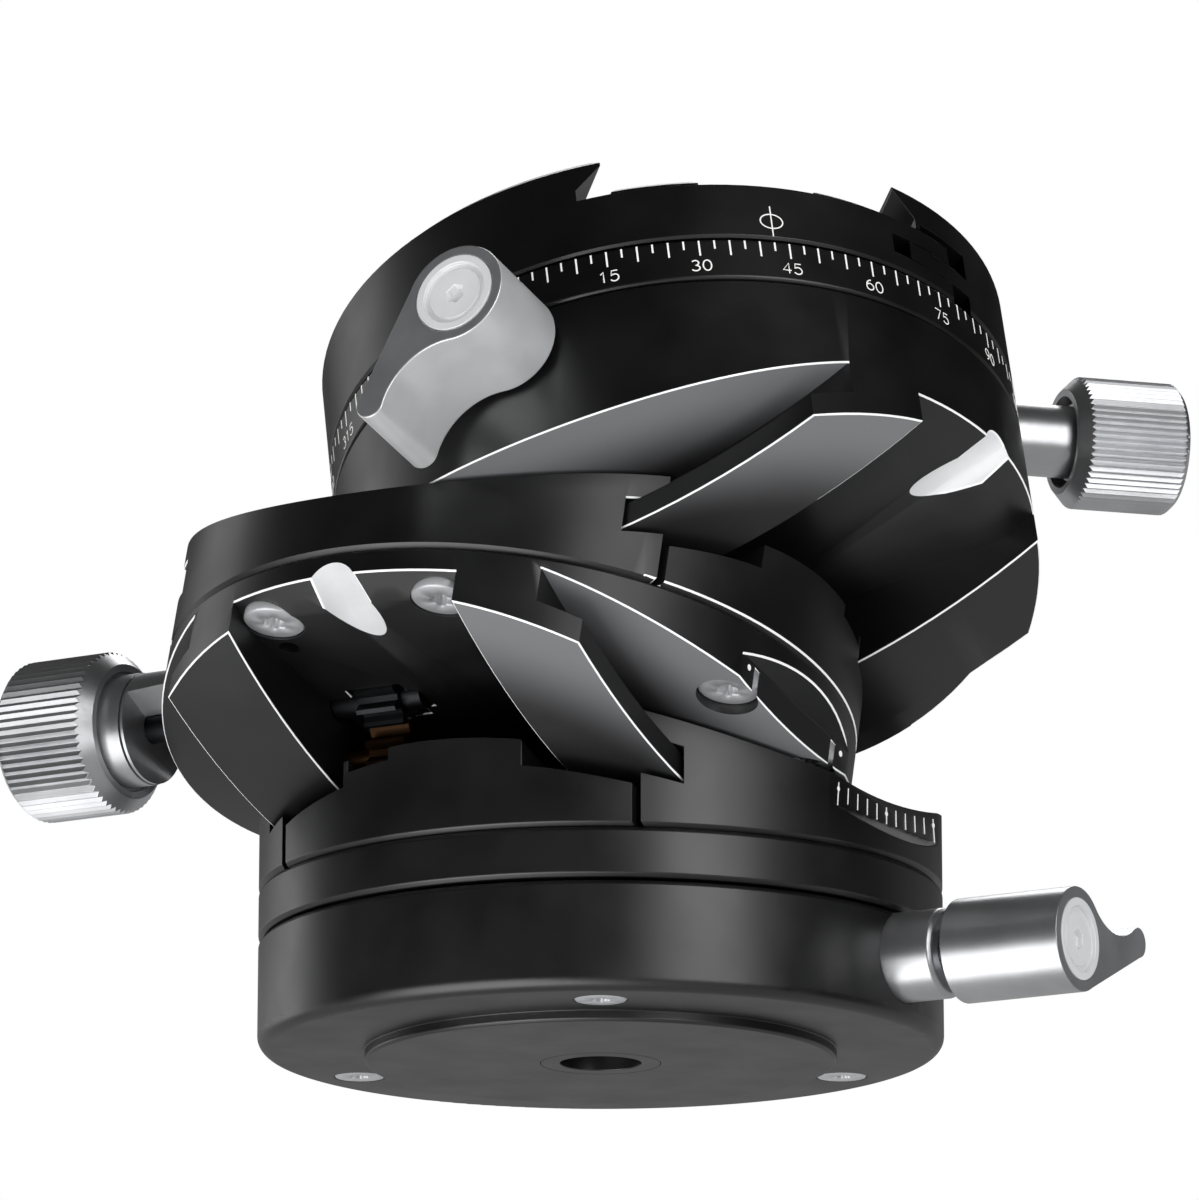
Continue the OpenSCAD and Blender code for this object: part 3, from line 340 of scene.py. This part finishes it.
def carriageFinder(stage, v, arcs):
    back = stage.inverted()
    lean = math.radians(90 - v["slope"])
    way = Vector((0, -math.sin(lean), math.cos(lean)))
    side = Vector((0, math.cos(lean), math.sin(lean)))
    start = (Vector(v["startMm"]) - v["radiusMm"] * side) * mm

    def isFluted(place):
        for turn in (1, -1):  # one flute at each mouth of the tunnel
            reach = Vector((turn * place.x, turn * place.y, place.z)) - start
            along = reach.dot(way)
            far = (reach - along * way).length / mm
            if abs(far - v["radiusMm"]) < v["tolMm"] and along > -v["leadMm"] * mm:
                return True
        return False

    def isUnderside(place, normal):
        out = Vector((0, place.y, place.z - stages["pivot"] * mm))
        onArc = any(abs(out.length / mm - radius) < arcs["tolMm"] for radius in arcs["arcsMm"])
        return onArc and place.x > 0 and normal.dot(out.normalized()) > arcs["facing"]

    def paintFace(face):
        place = back @ face.calc_center_median()
        if isFluted(place):
            return skinSlots["blasted"]
        # undersides on the arcs take the skin with the painted sheen
        if isUnderside(place, back.to_3x3() @ face.normal):
            return skinSlots["milled"]
        return skinSlots["black"]

    return paintFace


blackNodes = ["base_housing", "socket_bush", "pan_deck",
              "lower_track", "lower_rail_front", "lower_rail_back", "lower_carriage",
              "upper_track", "upper_rail_front", "upper_rail_back", "upper_carriage",
              "degree_ring", "clamp_body", "moving_jaw"]
# shortest edge in mm that gets the painted highlight: the small holes of the lower carriage stay black
brightEdged = {"lower_carriage": 0.9, "upper_carriage": 0.0, "upper_track": 0.0,
               "upper_rail_front": 0.0, "upper_rail_back": 0.0}
for name in blackNodes:
    skins = [black, bright, blasted]
    finder = None
    if name in carriageFrames:
        # the carriages get one more skin, a painted sheen for their undersides
        skins.append(milledSkin(camel("milled_aluminium_" + name), carriageFrames[name], underside))
        finder = carriageFinder(carriageFrames[name], flute, underside)
    dress(name, skins, finder, brightFromMm=brightEdged.get(name))
dress("base_lock_boss", [silver], roundMm=edges["bossMm"])

# knobs: bare metal; the cone sunk round the hub of the clamp's knob is black
clampKnob = {"from": (0, 0, 70.33), "way": (1, 0, 0), "hubMm": 4.35, "coneMm": 5.43, "facing": -0.3}


def coneFinder(v):
    spot = clampFrame @ (Vector(v["from"]) * mm)
    way = clampFrame.to_3x3() @ Vector(v["way"])

    def paintFace(face):
        reach = face.calc_center_median() - spot
        far = (reach - reach.dot(way) * way).length / mm
        return int(face.normal.dot(way) < v["facing"] and v["hubMm"] < far < v["coneMm"])

    return paintFace


for name in ("lower_knob", "upper_knob", "clamp_knob"):
    finder = coneFinder(clampKnob) if name == "clamp_knob" else None
    dress(name, [silver, black], finder, edges["knobMm"])

# collar between the lower knob's hub and the round wall, in the frame of the lower stage
collar = {"from": -40.65, "y": -13.4, "z": 31.5, "radiusMm": 6.5, "boreMm": 1.9, "edge": 0.1,
          "steps": 72, "wallMm": 40.2, "clearArcMm": 84.0}


def makeCollar(v):
    # it follows the wall, but ends flat below the wall's edge, where the rail passes at full tilt
    def wallAt(y, z):
        below = math.hypot(y, stages["pivot"] - z) > v["clearArcMm"]
        return -v["wallMm"] if below else -math.sqrt(v["wallMm"] ** 2 - y ** 2)

    # radius and place along the shaft; None means the wall's own place
    outline = [(v["boreMm"], v["from"]), (v["radiusMm"] - v["edge"], v["from"]),
               (v["radiusMm"], v["from"] + v["edge"]), (v["radiusMm"], None), (v["boreMm"], None)]
    shape = bmesh.new()
    loops = []
    for radius, x in outline:
        ring = []
        for i in range(v["steps"]):
            a = 2 * math.pi * i / v["steps"]
            y, z = v["y"] + radius * math.cos(a), v["z"] + radius * math.sin(a)
            ring.append(shape.verts.new(((wallAt(y, z) if x is None else x) * mm, y * mm, z * mm)))
        loops.append(ring)
    for low, high in zip(loops, loops[1:] + loops[:1]):
        bridge(shape, low, high)
    bmesh.ops.recalc_face_normals(shape, faces=shape.faces)
    shadeSmooth(shape, edges["angle"])
    mesh = meshFrom(shape, "lowerHubCollar")
    mesh.transform(lowerFrame)
    mesh.materials.append(silver)
    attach(addObject("lowerHubCollar", mesh), "middle")


makeCollar(collar)

# levers: a bare or satin body, and a grey face at the capped end
levers = {"base": {"skin": silver, "end": Vector((1, 0, 0)), "facing": 0.97},
          "head": {"skin": satin, "end": upperFrame.to_3x3() @ Vector((0, -1, 0)), "facing": 0.97}}


def endFinder(v):
    def paintFace(face):
        return int(face.normal.dot(v["end"]) > v["facing"])

    return paintFace


for where, lever in levers.items():
    dress(where + "_lock_lever", [lever["skin"], grey], endFinder(lever),
          edges["leverMm"])
    dress(where + "_lever_cap", [blasted], roundMm=edges["capMm"])

# pieces inside: bronze or plated steel by the words in their names, and dark steel with painted shade for
# the rest
insideWords = {"bronze": ("rack", "bush", "shoe", "idler"), "plated": ("stud", "screw", "bolts")}
for name, node in nodes.items():
    inside = bronze if any(word in name for word in insideWords["bronze"]) else shadedOiled
    if any(word in name for word in insideWords["plated"]):
        inside = steel
    node.data.materials.clear()
    node.data.materials.append(inside)
print("inside pieces painted")


# Geometry Nodes

def startTree(name, sockets):
    tree = bpy.data.node_groups.new(name, "GeometryNodeTree")
    tree.interface.new_socket("Geometry", in_out="OUTPUT", socket_type="NodeSocketGeometry")
    tree.interface.new_socket("Geometry", in_out="INPUT", socket_type="NodeSocketGeometry")
    for label, kind in sockets.items():
        tree.interface.new_socket(label, in_out="INPUT", socket_type="NodeSocket" + kind)
    return tree, addNode(tree, "NodeGroupInput").outputs


def runTree(tree, name, mesh, values):
    piece = addObject(name, mesh)
    grower = piece.modifiers.new("grow", "NODES")
    grower.node_group = tree
    for item in tree.interface.items_tree:
        if item.in_out == "INPUT" and item.name in values:
            grower[item.identifier] = values[item.name]
    plain = plainMesh(piece)
    piece.modifiers.remove(grower)
    piece.data = plain
    return piece


# engraved marks in a row round an arc, each a thin bar; every so many is a long one
def markTree():
    tree, given = startTree("engravedMarks", {
        "Count": "Int", "Start": "Float", "Step": "Float", "Long Every": "Float", "Radius": "Float",
        "Long Size": "Vector", "Short Size": "Vector", "Long Shift": "Vector", "Short Shift": "Vector",
        "Material": "Material"})
    line = addNode(tree, "GeometryNodeMeshLine", {"Count": given["Count"], "Offset": (0, 0, 0)})
    index = addNode(tree, "GeometryNodeInputIndex").outputs[0]
    angle = addNode(tree, "ShaderNodeMath", {0: index, 1: given["Step"], 2: given["Start"]},
                    operation="MULTIPLY_ADD").outputs[0]
    over = addNode(tree, "ShaderNodeMath", {0: index, 1: given["Long Every"]}, operation="MODULO")
    isLong = addNode(tree, "ShaderNodeMath", {0: over.outputs[0], 1: 0.5}, operation="LESS_THAN").outputs[0]
    size = addNode(tree, "ShaderNodeMix", {0: isLong, 4: given["Short Size"], 5: given["Long Size"]},
                   data_type="VECTOR").outputs[1]
    shift = addNode(tree, "ShaderNodeMix", {0: isLong, 4: given["Short Shift"], 5: given["Long Shift"]},
                    data_type="VECTOR").outputs[1]
    out = addNode(tree, "ShaderNodeCombineXYZ", {"X": given["Radius"]}).outputs[0]
    spot = addNode(tree, "ShaderNodeVectorMath", {0: out, 1: shift}, operation="ADD").outputs[0]
    turned = addNode(tree, "ShaderNodeVectorRotate", {"Vector": spot, "Angle": angle},
                     rotation_type="Z_AXIS").outputs[0]
    placed = addNode(tree, "GeometryNodeSetPosition", {"Geometry": line.outputs[0], "Position": turned})
    bar = addNode(tree, "GeometryNodeMeshCube", {"Size": (1, 1, 1)})
    turn = addNode(tree, "ShaderNodeCombineXYZ", {"Z": angle}).outputs[0]
    bars = addNode(tree, "GeometryNodeInstanceOnPoints",
                   {"Points": placed.outputs[0], "Instance": bar.outputs[0],
                    "Rotation": turn, "Scale": size})
    real = addNode(tree, "GeometryNodeRealizeInstances", {"Geometry": bars.outputs[0]})
    painted = addNode(tree, "GeometryNodeSetMaterial",
                      {"Geometry": real.outputs[0], "Material": given["Material"]})
    addNode(tree, "NodeGroupOutput", {"Geometry": painted.outputs[0]})
    return tree


engravedMarks = markTree()

# degree scale: a mark every 2.5 degrees at the top edge, a long one every 5
degreeScale = {"radius": 40.0, "top": 65.2, "zero": 2.5, "step": 2.5, "longEvery": 2.0,
               "long": 2.05, "short": 1.15, "wide": 0.2, "proud": 0.02, "deep": 0.3,
               "numberEvery": 15, "numberMm": 1.42, "numberDrop": 3.4}


def degreeMarks(v):
    wide, thick = v["wide"] * mm, (v["proud"] + v["deep"]) * mm
    reach = (v["proud"] - v["deep"]) / 2 * mm
    values = {
        "Count": round(360 / v["step"]), "Start": math.radians(v["zero"] - 90),
        "Step": math.radians(v["step"]), "Long Every": v["longEvery"], "Radius": v["radius"] * mm,
        "Long Size": (thick, wide, v["long"] * mm), "Short Size": (thick, wide, v["short"] * mm),
        "Long Shift": (reach, 0, (v["top"] - v["long"] / 2) * mm),
        "Short Shift": (reach, 0, (v["top"] - v["short"] / 2) * mm), "Material": paint}
    piece = runTree(engravedMarks, "degreeMarks", bpy.data.meshes.new("degreeMarks"), values)
    piece.data.transform(upperFrame)
    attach(piece, "head")


degreeMarks(degreeScale)


# flat outlines are laid round the ring: x runs along the rim, y up it
def wrapRound(mesh, radius, angle, height):
    for vertex in mesh.vertices:
        x, y, z = vertex.co
        turn = math.radians(angle - 90) + x / (radius * mm)
        far = radius * mm + z
        vertex.co = (far * math.cos(turn), far * math.sin(turn), height * mm + y)


def arc(cx, cy, rx, ry, start, end, steps=14):
    angles = [math.radians(start + (end - start) * i / steps) for i in range(steps + 1)]
    return [(cx + rx * math.cos(a), cy + ry * math.sin(a)) for a in angles]


# engraver's single-line digits, in a box as wide as given here and 1 high
digits = {"wide": 0.66, "pitch": 0.92}
six = arc(0.52, 0.34, 0.51, 0.64, 96, 180, 10) + arc(0.34, 0.31, 0.33, 0.31, 180, 540, 22)
digitStrokes = {
    "0": [arc(0.33, 0.5, 0.33, 0.5, 90, 450, 28)],
    "1": [[(0.14, 0.8), (0.38, 1.0), (0.38, 0.0)]],
    "2": [arc(0.33, 0.72, 0.3, 0.28, 165, -38) + [(0.02, 0.0), (0.66, 0.0)]],
    "3": [arc(0.31, 0.76, 0.27, 0.24, 150, -90) + arc(0.31, 0.26, 0.33, 0.26, 90, -150)],
    "4": [[(0.5, 0.0), (0.5, 1.0), (0.0, 0.3), (0.68, 0.3)]],
    "5": [[(0.6, 1.0), (0.13, 1.0), (0.07, 0.55)] + arc(0.32, 0.33, 0.34, 0.33, 128, -150)],
    "6": [six],
    "7": [[(0.0, 1.0), (0.66, 1.0), (0.22, 0.0)]],
    "8": [arc(0.33, 0.76, 0.26, 0.24, -90, 270, 22) + arc(0.33, 0.26, 0.33, 0.26, 90, 450, 24)],
    "9": [[(digits["wide"] - x, 1.0 - y) for x, y in six]],
}

# stroke of the engraver, filled with paint that stands barely proud
engraving = {"strokeMm": 0.17, "resolution": 1, "flatten": 0.35}


def strokeMesh(paths, v):
    curve = bpy.data.curves.new("stroke", "CURVE")
    curve.dimensions = "3D"
    curve.bevel_depth = v["strokeMm"] / 2 * mm
    curve.bevel_resolution = v["resolution"]
    curve.use_fill_caps = True
    for path in paths:
        line = curve.splines.new("POLY")
        line.points.add(len(path) - 1)
        for point, (x, y) in zip(line.points, path):
            point.co = (x * mm, y * mm, 0, 1)
    holder = addObject("stroke", curve)
    mesh = plainMesh(holder)
    bpy.data.objects.remove(holder)
    mesh.transform(Matrix.Diagonal((1, 1, v["flatten"], 1)))
    return mesh


def numberPaths(text, size):
    wide = digits["pitch"] * (len(text) - 1) + digits["wide"]
    return [[((x + digits["pitch"] * i - wide / 2) * size, (y - 0.5) * size) for x, y in path]
            for i, digit in enumerate(text) for path in digitStrokes[digit]]


def degreeNumbers(v):
    shape = bmesh.new()
    for number in range(0, 360, v["numberEvery"]):
        mesh = strokeMesh(numberPaths(str(number), v["numberMm"]), engraving)
        wrapRound(mesh, v["radius"], number + v["zero"], v["top"] - v["numberDrop"])
        shape.from_mesh(mesh)
    joined = meshFrom(shape, "degreeNumbers")
    joined.transform(upperFrame)
    joined.materials.append(paint)
    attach(addObject("degreeNumbers", joined), "head")


degreeNumbers(degreeScale)
print("degree scale made")

# index on the clamp: an oval with a line through it
clampIndex = {"angle": 45.0, "height": 68.2, "oval": (1.32, 0.98), "steps": 40, "line": 4.2}


def clampMark(v):
    wide, high = v["oval"]
    paths = [arc(0, 0, wide, high, 0, 360, v["steps"]), [(0, -v["line"] / 2), (0, v["line"] / 2)]]
    mesh = strokeMesh(paths, engraving)
    wrapRound(mesh, degreeScale["radius"], v["angle"], v["height"])
    mesh.transform(upperFrame)
    mesh.materials.append(paint)
    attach(addObject("clampIndex", mesh), "clamp")


clampMark(clampIndex)

# tilt scale on the flat of the front rail
tiltScale = {"face": 37.9, "radius": 88.45, "count": 11, "step": 1.5, "longEvery": 5.0,
             "long": 3.3, "short": 1.9, "wide": 0.2, "proud": 0.02, "deep": 0.3}
tiltSpan = (tiltScale["count"] - 1) / 2 * tiltScale["step"]  # degrees either way of its middle


def tiltMarks(v):
    thick = (v["proud"] + v["deep"]) * mm
    values = {
        "Count": v["count"], "Start": math.radians(-tiltSpan), "Step": math.radians(v["step"]),
        "Long Every": v["longEvery"], "Radius": v["radius"] * mm,
        "Long Size": (v["long"] * mm, v["wide"] * mm, thick),
        "Short Size": (v["short"] * mm, v["wide"] * mm, thick),
        "Long Shift": (v["long"] / 2 * mm, 0, 0), "Short Shift": (v["short"] / 2 * mm, 0, 0),
        "Material": paint}
    piece = runTree(engravedMarks, "tiltMarks", bpy.data.meshes.new("tiltMarks"), values)
    # the row's own X points down from the tilt axis, its Y along the slide
    lay = Matrix(((0, 0, 1, 0), (0, 1, 0, 0), (-1, 0, 0, 0), (0, 0, 0, 1)))
    centre = Vector(((v["face"] + (v["proud"] - v["deep"]) / 2) * mm, 0, stages["pivot"] * mm))
    piece.data.transform(Matrix.Translation(centre) @ lay)
    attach(piece, "pan")


tiltMarks(tiltScale)

# painted dots: three at the long marks of the rail, and two larger ones on the carriage above them
tiltDots = {"deep": 0.3, "proud": 0.03, "taper": 0.86, "steps": 20, "railMm": 0.34, "railDrop": 0.75,
            "carriageMm": 0.42, "carriageRadius": 85.0}


def addDot(shape, angle, arcRadius, size, v):
    turn = math.radians(angle)
    place = Vector((tiltScale["face"] + v["proud"] - v["deep"] / 2, arcRadius * math.sin(turn),
                    stages["pivot"] - arcRadius * math.cos(turn)))
    made = bmesh.ops.create_cone(shape, cap_ends=True, segments=v["steps"], radius1=size * mm,
                                 radius2=size * v["taper"] * mm, depth=v["deep"] * mm)
    lay = Matrix.Translation(place * mm) @ Matrix.Rotation(math.pi / 2, 4, "Y")
    bmesh.ops.transform(shape, matrix=lay, verts=made["verts"])


def makeDots(name, body, stage, angles, arcRadius, size):
    shape = bmesh.new()
    for angle in angles:
        addDot(shape, angle, arcRadius, size, tiltDots)
    mesh = meshFrom(shape, name)
    mesh.transform(stage)
    mesh.materials.append(paint)
    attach(addObject(name, mesh), body)


makeDots("tiltMarkDots", "pan", Matrix.Identity(4), (-tiltSpan, 0, tiltSpan),
         tiltScale["radius"] + tiltDots["railDrop"], tiltDots["railMm"])
makeDots("carriageDots", "middle", lowerFrame, (-tiltSpan, tiltSpan),
         tiltDots["carriageRadius"], tiltDots["carriageMm"])
print("tilt scale made")


# screws with a six-lobed socket, set where the solids have theirs

# radii and depths are shares of the head's radius, but mouth and taper are shares of the socket's,
# and deepest is a share of the head's height
screwHead = {"steps": 48, "edge": 0.06, "angle": 12.0, "socket": 0.36, "mouth": 1.12, "taper": 0.96,
             "lip": 0.05, "socketDeep": 0.5, "deepest": 0.8, "lobes": 6, "mouthLobe": 0.10, "lobe": 0.16}


def looseParts(node):
    shape = bmesh.new()
    shape.from_mesh(nodes[node].data)
    bmesh.ops.remove_doubles(shape, verts=shape.verts, dist=mergeDist)
    left, parts = set(shape.verts), []
    while left:
        stack, part = [left.pop()], []
        while stack:
            vertex = stack.pop()
            part.append(tuple(vertex.co))
            for edge in vertex.link_edges:
                other = edge.other_vert(vertex)
                if other in left:
                    left.remove(other)
                    stack.append(other)
        parts.append(np.array(part))
    shape.free()
    return parts


# centre of the head's face, the way it looks, head radius and height, shank radius, whole length
def measureScrew(points):
    near = 0.01 * mm
    middle = points.mean(0)
    spread, ways = np.linalg.eigh(np.cov((points - middle).T))
    odd = 0 if abs(spread[0] - spread[1]) > abs(spread[1] - spread[2]) else 2
    axis = ways[:, odd]
    along = (points - middle) @ axis
    across = np.linalg.norm(points - middle - np.outer(along, axis), axis=1)
    if across[along > along.max() - near].max() < across[along < along.min() + near].max():
        axis, along = -axis, -along
    head = across.max()
    wide = along[across > head - near]
    shank = across[along < along.min() + near].max()
    return {"face": Vector(middle + axis * along.max()), "axis": Vector(axis), "head": float(head),
            "headDeep": float(wide.max() - wide.min()), "shank": float(shank),
            "length": float(along.max() - along.min())}


def screwMesh(name, size, v):
    shape = bmesh.new()

    def loop(radius, z, lobe=0.0):
        ring = []
        for i in range(v["steps"]):
            a = 2 * math.pi * i / v["steps"]
            far = radius * (1 + lobe * math.cos(v["lobes"] * a))
            ring.append(shape.verts.new((far * math.cos(a), far * math.sin(a), z)))
        return ring

    head, shank, headDeep = size["head"], size["shank"], size["headDeep"]
    cut = v["edge"] * head
    socket = v["socket"] * head
    deep = min(headDeep * v["deepest"], v["socketDeep"] * head)
    loops = [loop(shank, -size["length"]), loop(shank, -headDeep), loop(head, -headDeep),
             loop(head, -cut), loop(head - cut, 0), loop(socket * v["mouth"], 0, v["mouthLobe"]),
             loop(socket, -v["lip"] * head, v["lobe"]), loop(socket * v["taper"], -deep, v["lobe"])]
    for low, high in zip(loops, loops[1:]):
        bridge(shape, low, high)
    shape.faces.new(loops[0][::-1])
    shape.faces.new(loops[-1])
    shadeSmooth(shape, v["angle"])
    return meshFrom(shape, name)


def screwTree():
    tree, given = startTree("screwSet", {"Screw": "Object", "Material": "Material"})
    screw = addNode(tree, "GeometryNodeObjectInfo", {"Object": given["Screw"]})
    turn = addNode(tree, "GeometryNodeInputNamedAttribute", {"Name": "turn"}, data_type="FLOAT_VECTOR")
    screws = addNode(tree, "GeometryNodeInstanceOnPoints",
                     {"Points": given["Geometry"], "Instance": screw.outputs["Geometry"],
                      "Rotation": turn.outputs[0]})
    real = addNode(tree, "GeometryNodeRealizeInstances", {"Geometry": screws.outputs[0]})
    painted = addNode(tree, "GeometryNodeSetMaterial",
                      {"Geometry": real.outputs[0], "Material": given["Material"]})
    addNode(tree, "NodeGroupOutput", {"Geometry": painted.outputs[0]})
    return tree


screwSet = screwTree()


def setScrews(node, material):
    sizes = [measureScrew(points) for points in looseParts(node)]
    holder = addObject("screwShape", screwMesh("screwShape", sizes[0], screwHead))
    spots = bpy.data.meshes.new(camel(node))
    spots.from_pydata([size["face"] for size in sizes], [], [])
    turns = spots.attributes.new("turn", "FLOAT_VECTOR", "POINT")
    for i, size in enumerate(sizes):
        turns.data[i].vector = size["axis"].to_track_quat("Z", "Y").to_euler()
    piece = runTree(screwSet, camel(node), spots, {"Screw": holder, "Material": material})
    bpy.data.objects.remove(holder)
    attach(piece, bodyOfNode[node])
    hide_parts(node)


for node in ("base_screws", "carriage_screws", "clamp_bolts"):
    setScrews(node, nickel)
print("screws set")


# studio: pale floor, dark canopy, soft boxes, camera; sizes are in metres unless their names end in Mm

studio = {"dropMm": 0.4, "size": 6.0, "cells": 8, "fadeFrom": 0.3, "fadeTo": 1.6, "deep": "#e4e4e3",
          "pale": "#e9e9e8", "grainMm": 3.0, "rough": 0.9, "fill": 0.9, "glow": 0.35}


# plain matt paper: a pale ground that takes the shadow and runs out into white
def floorPaper(v):
    material, tree, shader = newMaterial("paleFloorPaper")
    place = addNode(tree, "ShaderNodeTexCoord").outputs["Object"]
    grain = addNode(tree, "ShaderNodeTexNoise",
                    {"Vector": place, "Scale": 1 / (v["grainMm"] * mm), "Detail": 4.0})
    tone = addNode(tree, "ShaderNodeMix", {0: grain.outputs[0], 6: hexLinear(v["deep"]),
                                           7: hexLinear(v["pale"])}, data_type="RGBA")
    tree.links.new(tone.outputs[2], shader.inputs["Base Color"])
    shader.inputs["Roughness"].default_value = v["rough"]
    # seen only from above, so that the view from below and the light on the underside pass through
    path = addNode(tree, "ShaderNodeLightPath").outputs
    under = addNode(tree, "ShaderNodeNewGeometry").outputs["Backfacing"]
    unseen = addNode(tree, "ShaderNodeMath", {0: 1.0, 1: path["Is Camera Ray"]}, operation="SUBTRACT")
    clear = addNode(tree, "ShaderNodeMath", {0: unseen.outputs[0], 1: under}, operation="MAXIMUM")
    glass = addNode(tree, "ShaderNodeBsdfTransparent")
    # far from the object the paper runs out into the white background
    far = addNode(tree, "ShaderNodeVectorMath", {0: place}, operation="LENGTH").outputs["Value"]
    fade = addNode(tree, "ShaderNodeMapRange",
                   {"Value": far, "From Min": v["fadeFrom"], "From Max": v["fadeTo"]},
                   interpolation_type="SMOOTHSTEP")
    sheet = addNode(tree, "ShaderNodeEmission")
    paper = addNode(tree, "ShaderNodeMixShader",
                    {0: fade.outputs[0], 1: shader.outputs[0], 2: sheet.outputs[0]})
    mixed = addNode(tree, "ShaderNodeMixShader",
                    {0: clear.outputs[0], 1: paper.outputs[0], 2: glass.outputs[0]})
    output = next(n for n in tree.nodes if n.type == "OUTPUT_MATERIAL")
    tree.links.new(mixed.outputs[0], output.inputs["Surface"])
    return material


def makeFloor(v):
    shape = bmesh.new()
    bmesh.ops.create_grid(shape, x_segments=v["cells"], y_segments=v["cells"], size=v["size"] / 2)
    bmesh.ops.translate(shape, verts=shape.verts, vec=(0, 0, -v["dropMm"] * mm))
    mesh = meshFrom(shape, "floor")
    mesh.materials.append(floorPaper(v))
    addObject("floor", mesh)


def makeWorld(v):
    world = bpy.data.worlds.new("studio")
    scene.world = world
    world.use_nodes = True
    tree = world.node_tree
    tree.nodes.clear()
    path = addNode(tree, "ShaderNodeLightPath").outputs
    # full white for the eye, a softer white for what metal shows, and the fill for the rest
    spread = addNode(tree, "ShaderNodeMapRange",
                     {"Value": path["Is Glossy Ray"], "To Min": v["fill"], "To Max": v["glow"]})
    seen = addNode(tree, "ShaderNodeMath", {0: path["Is Camera Ray"], 1: path["Is Transmission Ray"]},
                   operation="MAXIMUM")
    strength = addNode(tree, "ShaderNodeMath", {0: seen.outputs[0], 1: spread.outputs[0]},
                       operation="MAXIMUM")
    light = addNode(tree, "ShaderNodeBackground", {"Color": (1, 1, 1, 1), "Strength": strength.outputs[0]})
    addNode(tree, "ShaderNodeOutputWorld", {"Surface": light.outputs[0]})


# what the canopy and the soft boxes stand round
target = Vector((0, 0, 0.05))


def around(azimuth, elevation, away):
    a, e = math.radians(azimuth), math.radians(elevation)
    return target + away * Vector((math.sin(a) * math.cos(e), -math.cos(a) * math.cos(e), math.sin(e)))


# a canopy of black velvet round the set, open behind: it isn't seen, but the metal shows it as dark bands
canopy = {"radius": 1.6, "from": -30.0, "to": 90.0, "rings": 12, "steps": 36, "merge": 1e-4,
          "openFrom": 140, "openTo": 280, "openTop": 15.0, "colour": "#0a0a0a", "rough": 1.0}


def makeCanopy(v):
    shape = bmesh.new()
    step = 360 / v["steps"]
    heights = [v["from"] + (v["to"] - v["from"]) * i / v["rings"] for i in range(v["rings"] + 1)]
    rows = [[shape.verts.new(around(j * step, e, v["radius"])) for j in range(v["steps"])] for e in heights]
    for top, low, high in zip(heights[1:], rows, rows[1:]):
        for j in range(v["steps"]):
            behind = v["openFrom"] <= (j + 0.5) * step <= v["openTo"]
            if behind and top <= v["openTop"]:
                continue
            k = (j + 1) % v["steps"]
            shape.faces.new((low[j], high[j], high[k], low[k]))
    bmesh.ops.remove_doubles(shape, verts=shape.verts, dist=v["merge"])
    mesh = meshFrom(shape, "canopy")
    material, _, shader = newMaterial("blackVelvet")
    shader.inputs["Base Color"].default_value = hexLinear(v["colour"])
    shader.inputs["Roughness"].default_value = v["rough"]
    mesh.materials.append(material)
    cover = addObject("canopy", mesh)
    cover.visible_camera = False
    cover.visible_diffuse = False
    cover.visible_shadow = False


# each soft box: where it stands round the object, its size and its power in watts
softBoxes = {
    "leftStrip": {"azimuth": -95, "elevation": 8, "away": 0.9, "size": (0.35, 0.9), "power": 1.3},
    "rightStrip": {"azimuth": 64, "elevation": 8, "away": 0.9, "size": (0.4, 0.9), "power": 3.4},
    "lowBox": {"azimuth": -15, "elevation": -42, "away": 0.9, "size": (0.9, 0.9), "power": 6.0},
    "rimBox": {"azimuth": 200, "elevation": 45, "away": 1.0, "size": (0.6, 0.4), "power": 2.5},
}


def makeLights(boxes):
    for name, v in boxes.items():
        lamp = bpy.data.lights.new(name, "AREA")
        lamp.shape = "RECTANGLE"
        lamp.size, lamp.size_y = v["size"]
        lamp.energy = v["power"]
        holder = addObject(name, lamp)
        holder.location = around(v["azimuth"], v["elevation"], v["away"])
        holder.rotation_euler = (target - holder.location).to_track_quat("-Z", "Y").to_euler()
        holder.visible_camera = False


# the photo's angle
view = {"place": (0.43104, -0.74686, -0.15416), "look": (-0.48583, 0.84149, 0.23633),
        "lensMm": 225.2, "sensorMm": 36, "clip": (0.05, 20)}


def makeCamera(v):
    lens = bpy.data.cameras.new("photoCamera")
    lens.lens = v["lensMm"]
    lens.sensor_width = v["sensorMm"]
    lens.clip_start, lens.clip_end = v["clip"]
    holder = addObject("photoCamera", lens)
    holder.location = v["place"]
    holder.rotation_euler = Vector(v["look"]).to_track_quat("-Z", "Y").to_euler()
    scene.camera = holder


makeFloor(studio)
makeCanopy(canopy)
makeWorld(studio)
makeLights(softBoxes)
makeCamera(view)
scene.view_settings.view_transform = "Standard"
print("studio set")
